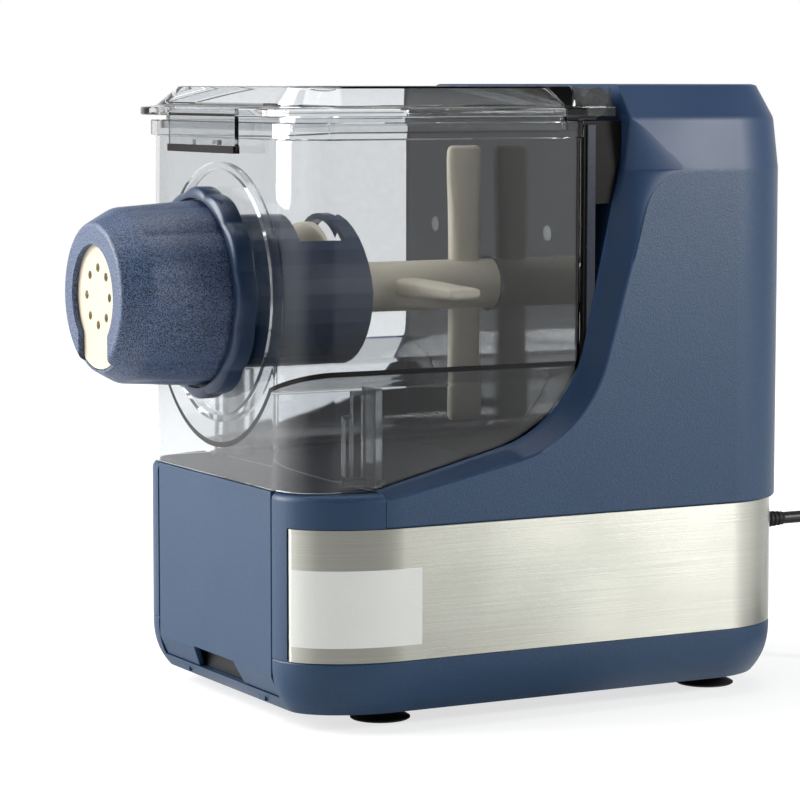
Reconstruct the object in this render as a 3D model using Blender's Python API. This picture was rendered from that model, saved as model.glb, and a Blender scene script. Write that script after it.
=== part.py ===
# Electric pasta maker, modelled as separate pieces in metres with +Z up.
# Machine frame: x runs back from the front face, y across, z up from the surface it stands on.
# The empty "machine_frame" carries every piece and puts the centre of the footprint at the origin.
import bpy
import bmesh
import math
import numpy as np

# Body, driving sizes
body_height = 0.292
body_length = 0.2725
body_width = 0.196
foot_height = 0.008
deck_height = 0.1093
wall = 0.0025
gap = 0.0003
overrun = 0.010

# Levels of the base
lip_height = 0.0160
tray_height = 0.0247
band_top = deck_height - lip_height
tray_top = foot_height + tray_height
tray_edge_inset = 0.0080
tray_edge_shares = ((0.0, 1.0), (0.07, 0.74), (0.22, 0.48), (0.42, 0.25), (0.68, 0.08), (1.0, 0.0))
steel_band_thickness = 0.0010
lip_round = 0.0040
front_post_depth = 0.0050

# Plan and levels of the tower
half_width = body_width / 2
tower_depth = 0.1225
chamber_back = body_length - tower_depth
corner_width = 0.0330
front_flat_half = half_width - corner_width
front_corner_depth = 0.050
rear_radius = 0.045
rear_step = 0.0025
crease_drop = 0.0400
facet_drop = 0.0160
ceiling_drop = 0.0060
side_crease_height = body_height - crease_drop
facet_height = body_height - facet_drop
tower_ceiling = body_height - ceiling_drop
facet_inset = 0.0026
top_inset = 0.011
top_round = 0.0012
cheek_thickness = 0.0116
cheek_inner_half = half_width - cheek_thickness
hollow_level_shares = (0.0, 0.338, 0.442, 0.701, 0.818, 0.922, 1.0)
facet_level_shares = (0.25, 1.0)

# Cheeks that sweep round the chamber, as corners of two side profiles. Each corner states its distance
# behind the chamber, and its height above the deck (knees) or its depth below the top (the rest).
parting_x = 0.0406
sweep_radius = 0.062
upper_radius = 0.022
shoulder_radius = 0.004
inner_start_rise = 0.0004
outer_start_drop = 0.0031
inner_knee_place = (-0.0080, 0.0257)
inner_upper_place = (0.0148, 0.0550)
inner_shoulder_place = (0.0190, 0.0365)
inner_brow_place = (0.0235, 0.0166)
inner_top_setback = 0.0157
outer_knee_place = (-0.0037, 0.0190)
outer_upper_place = (0.0260, 0.0550)
outer_shoulder_place = (0.0390, 0.0355)
outer_brow_place = (0.0275, 0.0155)
outer_top_setback = 0.0200


def above_deck(place):
    return (chamber_back + place[0], deck_height + place[1])


def below_top(place):
    return (chamber_back + place[0], body_height - place[1])


inner_knee = above_deck(inner_knee_place)
inner_upper = below_top(inner_upper_place)
inner_shoulder = below_top(inner_shoulder_place)
inner_brow = below_top(inner_brow_place)
outer_knee = above_deck(outer_knee_place)
outer_upper = below_top(outer_upper_place)
outer_shoulder = below_top(outer_shoulder_place)
outer_brow = below_top(outer_brow_place)
outer_start_z = deck_height - outer_start_drop

# Mixing chamber
side_play = 0.0006
chamber_half = cheek_inner_half - side_play
chamber_flat_inset = 0.0030
chamber_flat_half = front_flat_half - chamber_flat_inset
chamber_corner_depth = 0.020
chamber_front_low = 0.0004
chamber_front_high = 0.0026
chamber_wall = 0.0025
rear_corner = 0.0030
rim_drop = 0.0170
rim_height = 0.0080
rim_top = body_height - rim_drop
rim_bottom = rim_top - rim_height
rim_growth = 0.0024
rim_slope = 0.0008
axis_share = 0.519614
axis_height = deck_height + (rim_top - deck_height) * axis_share
trough_side_room = 0.0158
trough_share = 0.4225
trough_radius = min(chamber_half - trough_side_room, (rim_top - deck_height) * trough_share)
trough_shoulder_share = 0.3914
trough_shoulder_z = axis_height - trough_radius * trough_shoulder_share
collar_share = 0.7027
collar_outer = (axis_height - deck_height) * collar_share
collar_width = 0.0030
collar_depth = 0.0060
ring_share = 0.16918
ring_radius = body_height * ring_share
ring_to_neck = 0.0102
neck_wall = 0.0030
neck_outer = ring_radius - ring_to_neck
neck_inner = neck_outer - neck_wall
neck_reach = 0.007
journal_radius = 0.0135
brace_x = 0.044
brace_width = 0.020
brace_thickness = 0.0025
brace_inset = 0.0198
brace_y = chamber_half - brace_inset
brace_drop = 0.0145

# Black wall behind the chamber, and its screws
drive_wall_thickness = 0.0022
screw_head_radius = 0.0036
screw_head_depth = 0.0012
screw_inset = 0.0319
screw_side = cheek_inner_half - screw_inset
screw_rise = 0.0266
screw_fall = 0.0454
screw_places = ((-screw_side, axis_height + screw_rise), (screw_side, axis_height + screw_rise),
                (-screw_side, axis_height - screw_fall), (screw_side, axis_height - screw_fall))

# Nozzle and what it holds
ring_front = -0.0095
ring_back = 0.0008
ring_thickness = 0.0060
ring_bore = ring_radius - ring_thickness
ring_lobes = 12
ring_lobe_depth = 0.0016
ring_edge = 0.0014
cap_base_drop = 0.0064
cap_waist_drop = 0.0028
cap_face_drop = 0.0100
cap_bore_drop = 0.0032
cap_nose_bore_drop = 0.0066
cap_base_radius = ring_radius - cap_base_drop
cap_waist_radius = cap_base_radius - cap_waist_drop
cap_waist_x = -0.047
cap_face_radius = cap_base_radius - cap_face_drop
cap_face_x = -0.060
cap_back = -0.0005
cap_bore = cap_base_radius - cap_bore_drop
cap_nose_bore = cap_base_radius - cap_nose_bore_drop
cap_front_wall = 0.0027
cap_facets = 12
cap_facet_depth = 0.0008
cap_ring_setback = 0.0008
cap_bulge = 0.0005
cap_nose_drop = 0.0012
cap_face_edge = 0.0010
opening_share = 0.7273
slot_share = 0.5152
disc_drop = 0.0095
opening_radius = cap_face_radius * opening_share
slot_half = cap_face_radius * slot_share
disc_radius = cap_base_radius - disc_drop
disc_thickness = 0.004
die_radius = 0.0022
die_count = 8
die_circle_share = 0.55
barrel_wall = 0.0032
barrel_inner = neck_inner - barrel_wall
barrel_back_share = 0.44
barrel_back_low = chamber_back * barrel_back_share
barrel_slant = 0.0080
barrel_back_high = barrel_back_low - barrel_slant
barrel_nose_drop = 0.0007
barrel_tip_drop = 0.0021
barrel_nose_radius = neck_inner - barrel_nose_drop
barrel_tip_radius = neck_inner - barrel_tip_drop
barrel_step = 0.0010

# Mixing paddle, and the screw in front of it
hub_radius = 0.0120
hub_length = 0.0905
hub_back = chamber_back
hub_front = hub_back - hub_length
hub_chamfer = 0.0020
arm_clearance = 0.0030
arm_reach = trough_radius - arm_clearance
arm_width = 0.018
arm_thickness = 0.009
arm_tip_thickness = 0.006
arm_tip_round = 0.0020
arm_setbacks = (0.0155, 0.0520)
arm_places = ((hub_back - arm_setbacks[0], 90.0), (hub_back - arm_setbacks[0], 270.0),
              (hub_back - arm_setbacks[1], 0.0), (hub_back - arm_setbacks[1], 180.0))
socket_radius = 0.0074
socket_depth = 0.0160
screw_clearance = 0.0010
screw_radius = barrel_inner - screw_clearance
screw_core_radius = 0.0105
screw_pitch = 0.030
screw_front = -0.049
screw_end_gap = 0.0005
screw_turns = (hub_front - screw_end_gap - screw_front) / screw_pitch

# Lid, latch and hinge
flange_lift = 0.0023
flange_thickness = 0.0039
lid_rise = 0.0100
lid_flange_low = rim_top + flange_lift
lid_flange_high = lid_flange_low + flange_thickness
lid_top = lid_flange_high + lid_rise
lid_growth = 0.0062
lid_front = -0.0048
lid_back_overlap = 0.0004
lid_back = chamber_back + lid_back_overlap
lid_bevel_inset = 0.0165
lid_corner_share = 0.4
lid_wall = 0.0022
lid_edge = 0.0006
lid_skirt_wall = 0.0018
skirt_clearance = 0.0024
skirt_drop = 0.0040
skirt_overlap = 0.0010
skirt_top_step = 0.0004
hinge_setback = 0.0070
hinge_rise = 0.0090
hinge_x = chamber_back + hinge_setback
hinge_z = rim_top + hinge_rise
hinge_barrel_radius = 0.0063
hinge_pin_radius = 0.0020
hinge_side_room = 0.0258
hinge_bar_half = chamber_half - hinge_side_room
hinge_block_inset = 0.0008
hinge_block_outer = chamber_half - hinge_block_inset
hinge_foot_gap = 0.0004
hinge_foot_top = lid_flange_low - hinge_foot_gap
latch_half = 0.0365
latch_drop = 0.0138
latch_bottom = rim_top - latch_drop
latch_axis_x = -0.0030
latch_axis_rise = 0.0019
latch_axis_z = lid_flange_low + latch_axis_rise
latch_barrel_radius = 0.0018
latch_plate_front = -0.0048
latch_plate_back = -0.0028
latch_bar_height = 0.0032
latch_bar_front = 0.0008
latch_bar_back = 0.0004
latch_bar_foot = 0.0006
latch_hook_height = 0.0024
latch_hook_reach = 0.0014
latch_hook_root = 0.0010
latch_hook_share = 0.3
latch_stub_radius = 0.0009
latch_stub_length = 0.0022

# Drawer
panel_half = chamber_flat_half
panel_side_gap = 0.0012
front_post_inner = panel_half + panel_side_gap
panel_lift = 0.0066
panel_bottom = foot_height + panel_lift
crease_lift = 0.0094
panel_crease = panel_bottom + crease_lift
panel_thickness = 0.0030
panel_tuck = 0.0042
panel_bevel = 0.0005
notch_half = 0.0220
notch_height = 0.0100
notch_taper = 0.0030
drawer_side_room = 0.0030
drawer_half = panel_half - drawer_side_room
drawer_rear_room = 0.0200
drawer_back = chamber_back - drawer_rear_room
drawer_headroom = 0.0247
drawer_height = deck_height - drawer_headroom - panel_bottom
drawer_wall = 0.0022
runner_inset = 0.0170
runner_y = drawer_half - runner_inset
runner_width = 0.0060
spare_disc_shares = (0.277, 0.508, 0.738)

# Feet
front_foot_x = 0.0560
rear_foot_setback = 0.0365
foot_x = (front_foot_x, body_length - rear_foot_setback)
foot_inset = 0.0360
foot_y = half_width - foot_inset
foot_disc_radius = 0.0140
foot_stem_radius = 0.0085
foot_lip = 0.0012

# Drive
shaft_radius = 0.0060
shaft_hex_radius = 0.0070
shaft_entry = 0.0150
shaft_front = chamber_back - shaft_entry
bush_radius = 0.0120
bush_length = 0.0200
frame_setback = 0.0340
frame_spacing = 0.0300
frame_front_x = chamber_back + frame_setback
frame_rear_x = frame_front_x + frame_spacing
frame_thickness = 0.0035
frame_half = 0.0460
frame_drop = 0.0145
frame_top = outer_shoulder[1] - frame_drop
frame_post_radius = 0.0040
output_teeth = 48
output_module = 0.0015
pinion_teeth = 12
wheel_teeth = 40
wheel_module = 0.0012
motor_teeth = 10
output_gear_setback = 0.0055
output_gear_width = 0.0090
pinion_setback = 0.0043
pinion_width = 0.0117
wheel_setback = 0.0163
wheel_width = 0.0077
motor_pinion_setback = 0.0155
motor_pinion_width = 0.0100
tooth_backlash = 0.00030
axle_radius = 0.0030
motor_radius = 0.0300
motor_length = 0.0370
motor_edge = 0.0020
motor_shaft_radius = 0.0030
fan_radius = 0.0240
fan_length = 0.0060
fan_blades = 7
fan_root_share = 0.30
fan_lean_share = 0.07
fan_blade_inset = 0.0004
fan_blade_thickness = 0.0014
running_gap = 0.0004
switch_half = 0.0140

# Controls on the side away from the photograph
panel_setback = 0.0535
panel_centre_x = body_length - panel_setback
control_top_drop = 0.0200
control_bottom_rise = 0.0247
control_top = side_crease_height - control_top_drop
control_bottom = band_top + control_bottom_rise
control_half = 0.0260
control_ledge = 0.0040
control_thickness = 0.0018
control_recess = 0.0012
control_corner = 0.0060
knob_drop = 0.0020
knob_z = (control_top + control_bottom) / 2 - knob_drop
knob_share = 0.14912
knob_radius = (control_top - control_bottom) * knob_share
knob_reach = 0.0130
knob_bore = 0.0034
knob_shaft_radius = 0.0030
knob_shaft_gap = 0.0020
knob_flutes = 16
knob_flute_depth = 0.0005
window_drop = 0.0195
window_z = control_top - window_drop
window_half = (0.0170, 0.0085)
window_corner = 0.0012
button_rise = 0.0165
button_z = control_bottom + button_rise
button_y_reach = 0.0012
button_radius = 0.0060
button_flange = 0.0072
button_edge = 0.0005
button_depth = 0.0030
button_spacing = 0.0130
button_travel = 0.0015
button_back = half_width - control_recess - button_depth
board_inset = 0.0100
board_y = half_width - board_inset
board_thickness = 0.0016
board_corner = 0.0015
board_sink = 0.0005
board_hole_x = 0.0170
encoder_half = 0.0065
encoder_floor = 0.0010
switch_radius = 0.0030
standoff_radius = 0.0024
standoff_share = 1.7

# Cord
cord_radius = 0.0030
cord_inset = 0.0500
cord_y = cord_inset - half_width
cord_drop = 0.0173
cord_z = band_top - cord_drop
relief_length = 0.0205
relief_collar_radius = 0.0064
relief_collar = 0.0026
relief_root_radius = 0.0042
relief_tip_radius = 0.0033
relief_hole_radius = 0.0056
relief_clip = 0.0020
lead_straight = 0.0290
lead_fall = 0.0128
lead_bend = 0.0270
lead_spacing = 0.0075
coil_turns_in = 2.5
coil_turns_out = 2.0
coil_inner_radius = 0.0256
coil_pitch = 0.0067
coil_step = 0.0066
coil_lead_out = 0.0340
coil_setback = 0.0965
coil_centre = (body_length + coil_setback, cord_y - coil_inner_radius - coil_turns_in * coil_pitch)
coil_points_per_loop = 24
plug_length = 0.0360
plug_half_width = 0.0130
plug_neck = 0.0100
plug_neck_half = (0.0048, 0.0046)
plug_shoulder = 0.0030
plug_swell = 0.0080
plug_end_round = 0.0020
blade_length = 0.0170
blade_half = (0.0032, 0.0008)
blade_spacing = 0.0064

machine_shift_x = -(body_length + cap_face_x) / 2
machine_shift_y = -knob_reach / 2

for thing in list(bpy.data.objects):
    bpy.data.objects.remove(thing, do_unlink=True)

machine_frame = bpy.data.objects.new("machine_frame", None)
bpy.context.scene.collection.objects.link(machine_frame)
machine_frame.location = (machine_shift_x, machine_shift_y, 0)

materials = {}


def material(name, colour, roughness, metallic=0.0, transmission=0.0):
    """One Principled material per finish."""
    if name not in materials:
        made = bpy.data.materials.new(name)
        made.use_nodes = True
        shader = made.node_tree.nodes["Principled BSDF"]
        shader.inputs["Base Color"].default_value = (*colour, 1.0)
        shader.inputs["Roughness"].default_value = roughness
        shader.inputs["Metallic"].default_value = metallic
        shader.inputs["Transmission Weight"].default_value = transmission
        materials[name] = made
    return materials[name]


def navy():
    return material("navy_plastic", (0.030, 0.055, 0.120), 0.45)


def navy_grain():
    return material("navy_grain", (0.030, 0.048, 0.090), 0.60)


def clear():
    return material("smoke_clear", (0.62, 0.64, 0.66), 0.05, 0.0, 0.9)


def black():
    return material("black_plastic", (0.012, 0.012, 0.014), 0.40)


def dark_wall():
    return material("dark_wall", (0.045, 0.040, 0.038), 0.35)


def steel():
    return material("brushed_steel", (0.70, 0.69, 0.66), 0.30, 1.0)


def bright_steel():
    return material("turned_steel", (0.60, 0.60, 0.61), 0.25, 1.0)


def ivory():
    return material("ivory_plastic", (0.72, 0.66, 0.52), 0.40)


def rubber():
    return material("rubber", (0.010, 0.010, 0.010), 0.80)


def board_green():
    return material("circuit_board", (0.020, 0.110, 0.050), 0.50)


def add_piece(name, vertices, faces, finish, pivot=(0, 0, 0), smooth=True):
    """Makes one closed body, with its origin at its pivot in the machine frame."""
    mesh = bpy.data.meshes.new(name)
    shifted = np.asarray(vertices, dtype=float) - np.asarray(pivot, dtype=float)
    mesh.from_pydata([tuple(v) for v in shifted], [], faces)
    work = bmesh.new()
    work.from_mesh(mesh)
    bmesh.ops.recalc_face_normals(work, faces=work.faces)
    work.to_mesh(mesh)
    work.free()
    piece = bpy.data.objects.new(name, mesh)
    bpy.context.scene.collection.objects.link(piece)
    piece.parent = machine_frame
    piece.location = pivot
    if smooth:
        mesh.shade_smooth()
        mesh.set_sharp_from_angle(angle=math.radians(35))
    if finish is None:
        piece.hide_render = True
        piece.display_type = "WIRE"
    else:
        mesh.materials.append(finish)
    return piece


def loft(name, sections, finish, pivot=(0, 0, 0), closed_along=False):
    """Skins closed rings of equal count, one after the other, with flat ends."""
    rings = [np.asarray(ring, dtype=float) for ring in sections]
    count = len(rings[0])
    faces = []
    spans = len(rings) if closed_along else len(rings) - 1
    for level in range(spans):
        low = level * count
        high = ((level + 1) % len(rings)) * count
        for i in range(count):
            j = (i + 1) % count
            faces.append((low + i, low + j, high + j, high + i))
    if not closed_along:
        faces.append(tuple(range(count)))
        faces.append(tuple(range((len(rings) - 1) * count, len(rings) * count)))
    return add_piece(name, np.concatenate(rings), faces, finish, pivot)


def along_z(outline, z):
    return np.column_stack([outline, np.full(len(outline), z)])


def along_y(profile, y):
    return np.column_stack([profile[:, 0], np.full(len(profile), y), profile[:, 1]])


def along_x(section, x):
    return np.column_stack([np.full(len(section), x), section])


def prism_z(name, outline, low, high, finish, pivot=(0, 0, 0)):
    outline = np.asarray(outline, dtype=float)
    return loft(name, [along_z(outline, low), along_z(outline, high)], finish, pivot)


def prism_y(name, profile, low, high, finish, pivot=(0, 0, 0)):
    profile = np.asarray(profile, dtype=float)
    return loft(name, [along_y(profile, low), along_y(profile, high)], finish, pivot)


def prism_x(name, section, low, high, finish, pivot=(0, 0, 0)):
    section = np.asarray(section, dtype=float)
    return loft(name, [along_x(section, low), along_x(section, high)], finish, pivot)


def block(name, low, high, finish, pivot=(0, 0, 0)):
    """A box between two corners."""
    outline = [(low[0], low[1]), (high[0], low[1]), (high[0], high[1]), (low[0], high[1])]
    return prism_z(name, outline, low[2], high[2], finish, pivot)


def circle(radius, count, centre=(0, 0), phase=0.0):
    turns = np.arange(count) / count * math.tau + phase
    return np.column_stack([centre[0] + radius * np.cos(turns), centre[1] + radius * np.sin(turns)])


def rod_x(name, radius, low, high, centre, finish, count=20, pivot=(0, 0, 0)):
    return prism_x(name, circle(radius, count, centre), low, high, finish, pivot)


def rod_y(name, radius, low, high, centre, finish, count=20, pivot=(0, 0, 0)):
    return prism_y(name, circle(radius, count, centre), low, high, finish, pivot)


def turned_x(name, profile, centre, finish, count=40, pivot=(0, 0, 0), bore=True):
    """Turns a closed profile of (x, radius) points round an axis along x through centre (y, z)."""
    angles = np.arange(count) / count * math.tau
    if bore:
        rings = []
        for angle in angles:
            ring = [(x, centre[0] + r * math.cos(angle), centre[1] + r * math.sin(angle)) for x, r in profile]
            rings.append(ring)
        return loft(name, rings, finish, pivot, closed_along=True)
    rings = [along_x(circle(r, count, centre), x) for x, r in profile]
    return loft(name, rings, finish, pivot)


def modifier(piece, tool, operation):
    step = piece.modifiers.new(operation.lower(), "BOOLEAN")
    step.operation = operation
    step.object = tool
    step.solver = "EXACT"
    tool.hide_render = True
    tool.display_type = "WIRE"


def cut(piece, *tools):
    for tool in tools:
        modifier(piece, tool, "DIFFERENCE")
    return piece


def join(piece, *tools):
    for tool in tools:
        modifier(piece, tool, "UNION")
    return piece


def keep(piece, tool):
    modifier(piece, tool, "INTERSECT")
    return piece


def rounded_path(corners, radii, steps):
    """A polyline whose inner corners become arcs of the radii, each with the same number of points."""
    corners = [np.asarray(c, dtype=float) for c in corners]
    path = [corners[0]]
    for i in range(1, len(corners) - 1):
        before = corners[i - 1] - corners[i]
        after = corners[i + 1] - corners[i]
        before_length = np.linalg.norm(before)
        after_length = np.linalg.norm(after)
        before = before / before_length
        after = after / after_length
        half_turn = math.acos(np.clip(np.dot(before, after), -1, 1)) / 2
        reach = radii[i - 1] / math.tan(half_turn)
        reach = min(reach, 0.49 * before_length, 0.49 * after_length)
        radius = reach * math.tan(half_turn)
        bisector = (before + after) / np.linalg.norm(before + after)
        centre = corners[i] + bisector * radius / math.sin(half_turn)
        start = corners[i] + before * reach - centre
        sweep = math.pi - 2 * half_turn
        turn = np.sign(start[0] * after[1] - start[1] * after[0])
        for k in range(steps + 1):
            angle = turn * sweep * k / steps
            c = math.cos(angle)
            s = math.sin(angle)
            path.append(centre + (start[0] * c - start[1] * s, start[0] * s + start[1] * c))
    path.append(corners[-1])
    return np.array(path)


def inset_outline(outline, distance):
    """Moves every edge of a closed outline inwards by the distance, and keeps its count of points."""
    outline = np.asarray(outline, dtype=float)
    ahead = np.roll(outline, -1, axis=0) - outline
    ahead = ahead / np.linalg.norm(ahead, axis=1)[:, None]
    normal_after = np.column_stack([-ahead[:, 1], ahead[:, 0]])
    normal_before = np.roll(normal_after, 1, axis=0)
    turn = 1 + np.sum(normal_before * normal_after, axis=1)
    return outline + (normal_before + normal_after) / turn[:, None] * distance


def plan_outline(inset, back=body_length, half=half_width, flat=front_flat_half,
                 depth=front_corner_depth, rear=rear_radius, front=0.0):
    """Plan of the body: flat front, elliptical front corners, straight sides, round rear corners."""
    near = []
    for t in np.linspace(0, math.pi / 2, 8):
        near.append((front + depth * (1 - math.cos(t)), -flat - (half - flat) * math.sin(t)))
    for t in np.linspace(0, math.pi / 2, 7):
        near.append((back - rear + rear * math.sin(t), -half + rear - rear * math.cos(t)))
    near = np.array(near)
    return inset_outline(np.concatenate([near, near[::-1] * (1, -1)]), inset)


def round_rectangle(centre, half, radius, steps=5):
    """A rectangle with round corners, about a centre, with its two half sizes."""
    points = []
    signs = ((1, 1), (-1, 1), (-1, -1), (1, -1))
    for quarter, (sx, sy) in enumerate(signs):
        for k in range(steps + 1):
            angle = (quarter + k / steps) * math.pi / 2
            x = centre[0] + sx * (half[0] - radius) + radius * math.cos(angle)
            y = centre[1] + sy * (half[1] - radius) + radius * math.sin(angle)
            points.append((x, y))
    return np.array(points)


# The two edges of the ramp on each cheek, in the side view
inner_profile = rounded_path(
    [(parting_x, deck_height + inner_start_rise), inner_knee, inner_upper, inner_shoulder, inner_brow,
     (chamber_back + inner_top_setback, body_height)],
    [sweep_radius, upper_radius, shoulder_radius, shoulder_radius], 6)
outer_profile = rounded_path(
    [(parting_x, outer_start_z), outer_knee, outer_upper, outer_shoulder, outer_brow,
     (chamber_back + outer_top_setback, body_height)],
    [sweep_radius, upper_radius, shoulder_radius, shoulder_radius], 6)


def side_cutter_profile(path, floor_z):
    """Closes a ramp edge into the outline of what lies in front of and above it."""
    first = [(-overrun, floor_z), (parting_x, floor_z)]
    last = [(path[-1][0], body_height + overrun), (-overrun, body_height + overrun)]
    return np.concatenate([first, path, last])


def base_tray():
    """Bottom tray with its rounded lower edge, and the wall behind the steel band."""
    back = body_length - rear_step
    lower = tray_top - foot_height
    sections = [along_z(plan_outline(tray_edge_inset * inset, back), foot_height + lower * share)
                for share, inset in tray_edge_shares]
    shelf = steel_band_thickness + gap
    sections.append(along_z(plan_outline(shelf, back), tray_top))
    sections.append(along_z(plan_outline(shelf, back), band_top))
    tray = loft("base_tray", sections, navy())
    inner = []
    for share, inset in tray_edge_shares[2:]:
        inset_here = tray_edge_inset * inset + shelf + wall
        inner.append(along_z(plan_outline(inset_here, back), foot_height + wall + lower * share))
    inner[0] = along_z(plan_outline(tray_edge_inset + wall, back), foot_height + wall)
    inner.append(along_z(plan_outline(shelf + wall, back), band_top + overrun))
    hollow = loft("tray_hollow", inner, None)
    doorway = block("tray_doorway", (-overrun, -front_post_inner, panel_bottom - gap),
                    (2 * overrun, front_post_inner, band_top + overrun), None)
    front_trim = block("tray_front_trim", (-overrun, -body_width, tray_top),
                       (front_post_depth + gap, body_width, band_top + overrun), None)
    relief_hole = rod_x("tray_relief_hole", relief_hole_radius + gap, body_length - overrun * 3,
                        body_length + overrun, (cord_y, cord_z), None)
    cut(tray, hollow, doorway, front_trim, relief_hole)
    for side in (-1, 1):
        y = side * runner_y
        runner = block("tray_runner_%d" % side, (2 * wall, y - runner_width / 2, foot_height + wall / 2),
                       (drawer_back + drawer_wall, y + runner_width / 2, panel_bottom - gap), None)
        join(tray, runner)
    return tray


def steel_band():
    """Thin steel sheet that wraps the base from one front post round the back to the other."""
    back = body_length - rear_step
    outside = plan_outline(0.0, back)
    inside = plan_outline(steel_band_thickness, back)
    start_x = front_post_depth + gap
    kept = [k for k in range(len(outside)) if outside[k][0] > start_x + gap]
    edge_near = at_depth(outside[:len(outside) // 2], start_x)
    edge_near_in = at_depth(inside[:len(inside) // 2], start_x)
    outer_run = [edge_near] + [outside[k] for k in kept] + [(edge_near[0], -edge_near[1])]
    inner_run = [edge_near_in] + [inside[k] for k in kept] + [(edge_near_in[0], -edge_near_in[1])]
    outline = np.array(outer_run + inner_run[::-1])
    band = prism_z("steel_band", outline, tray_top + gap, band_top, steel())
    relief_hole = rod_x("band_relief_hole", relief_hole_radius + gap, body_length - overrun * 2,
                        body_length + overrun, (cord_y, cord_z), None)
    return cut(band, relief_hole)


def at_depth(outline, x):
    """The point of a front corner that lies at depth x."""
    for a, b in zip(outline[:-1], outline[1:]):
        if a[0] <= x <= b[0]:
            share = (x - a[0]) / (b[0] - a[0])
            return (x, a[1] + share * (b[1] - a[1]))
    return (x, outline[-1][1])


def front_frame():
    """Lip under the front of the chamber, with a post each side of the drawer front."""
    sections = [along_z(plan_outline(0.0), tray_top + gap),
                along_z(plan_outline(0.0), deck_height - lip_round),
                along_z(plan_outline(lip_round * 0.13), deck_height - lip_round * 0.5),
                along_z(plan_outline(lip_round * 0.5), deck_height - lip_round * 0.13),
                along_z(plan_outline(lip_round), deck_height)]
    frame = loft("front_frame", sections, navy())
    behind = block("frame_behind", (parting_x - gap, -body_width, 0),
                   (body_length + overrun, body_width, body_height), None)
    passage = block("frame_passage", (-overrun, -front_post_inner, 0),
                    (parting_x + overrun, front_post_inner, deck_height - 2 * wall), None)
    face_recess = block("frame_face_recess", (-overrun, -front_post_inner, 0),
                        (panel_thickness + gap, front_post_inner, deck_height + overrun), None)
    band_room = block("frame_band_room", (front_post_depth, -body_width, 0),
                      (parting_x + overrun, body_width, band_top + gap), None)
    return cut(frame, behind, passage, face_recess, band_room)


def tower_front_x(z):
    """Front wall of the tower's hollow at a height: behind the bay, then behind the slanted edge."""
    bay_back = chamber_back + drive_wall_thickness + 2 * gap + wall
    upper = [p for p in outer_profile if p[1] > inner_knee[1]]
    slanted = np.interp(z, [p[1] for p in upper], [p[0] for p in upper]) + wall
    return max(bay_back, slanted)


def main_housing():
    """Tower and cheeks: a lofted shell, cut by the chamber's bay and by the swept ramp."""
    bottom = band_top + gap
    sections = [along_z(plan_outline(0.0), bottom),
                along_z(plan_outline(0.0), side_crease_height),
                along_z(plan_outline(facet_inset), facet_height),
                along_z(plan_outline(top_inset), body_height - top_round),
                along_z(plan_outline(top_inset + top_round), body_height)]
    housing = loft("main_housing", sections, navy())
    ramp_half = half_width
    outer_cut = side_cutter_profile(outer_profile, bottom - overrun)
    inner_cut = side_cutter_profile(inner_profile, bottom - overrun)
    ramp = loft("ramp_cutter", [along_y(outer_cut, -ramp_half - overrun), along_y(outer_cut, -ramp_half),
                                along_y(inner_cut, -cheek_inner_half), along_y(inner_cut, cheek_inner_half),
                                along_y(outer_cut, ramp_half), along_y(outer_cut, ramp_half + overrun)], None)
    bay = block("bay_cutter", (-overrun, -cheek_inner_half, deck_height),
                (chamber_back + drive_wall_thickness + 2 * gap, cheek_inner_half, body_height - 2 * overrun),
                None)
    low_rings = [along_z(tower_plan(parting_x + wall, wall), bottom - overrun),
                 along_z(tower_plan(parting_x + wall, wall), outer_start_z - wall)]
    low_hollow = loft("lower_hollow", low_rings, None)
    hollow_foot = bottom + 2 * wall
    levels = [hollow_foot + (side_crease_height - hollow_foot) * share for share in hollow_level_shares]
    facet_span = facet_height - side_crease_height
    levels += [side_crease_height + facet_span * share for share in facet_level_shares]
    levels.append(tower_ceiling)
    tower_rings = []
    for z in levels:
        inset = wall + max(0.0, (z - side_crease_height) / (facet_height - side_crease_height)) * facet_inset
        if z > facet_height:
            share = (z - facet_height) / (body_height - facet_height)
            inset = wall + facet_inset + share * (top_inset - facet_inset)
        tower_rings.append(along_z(tower_plan(tower_front_x(z), inset), z))
    tower_hollow = loft("tower_hollow", tower_rings, None)
    shaft_hole = rod_x("housing_shaft_hole", bush_radius + gap, chamber_back - overrun,
                       frame_front_x - overrun, (0, axis_height), None)
    control_room = prism_y("control_room", round_rectangle(
        (panel_centre_x, (control_top + control_bottom) / 2),
        (control_half + gap, (control_top - control_bottom) / 2 + gap), control_corner),
        half_width - control_recess, half_width + overrun, None)
    control_hole = prism_y("control_hole", round_rectangle(
        (panel_centre_x, (control_top + control_bottom) / 2),
        (control_half - control_ledge, (control_top - control_bottom) / 2 - control_ledge),
        control_corner - control_ledge / 2), half_width - overrun, half_width + overrun, None)
    return cut(housing, ramp, bay, low_hollow, tower_hollow, shaft_hole, control_room, control_hole)


def tower_plan(front_x, inset):
    """Plan of a hollow inside the tower: square at its front, round at its rear corners."""
    w = half_width - inset
    x_high = body_length - inset
    r = rear_radius - inset
    near = [(front_x, -w)]
    for t in np.linspace(0, math.pi / 2, 8):
        near.append((x_high - r + r * math.sin(t), -w + r - r * math.cos(t)))
    near = np.array(near)
    return np.concatenate([near, near[::-1] * (1, -1)])


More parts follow.
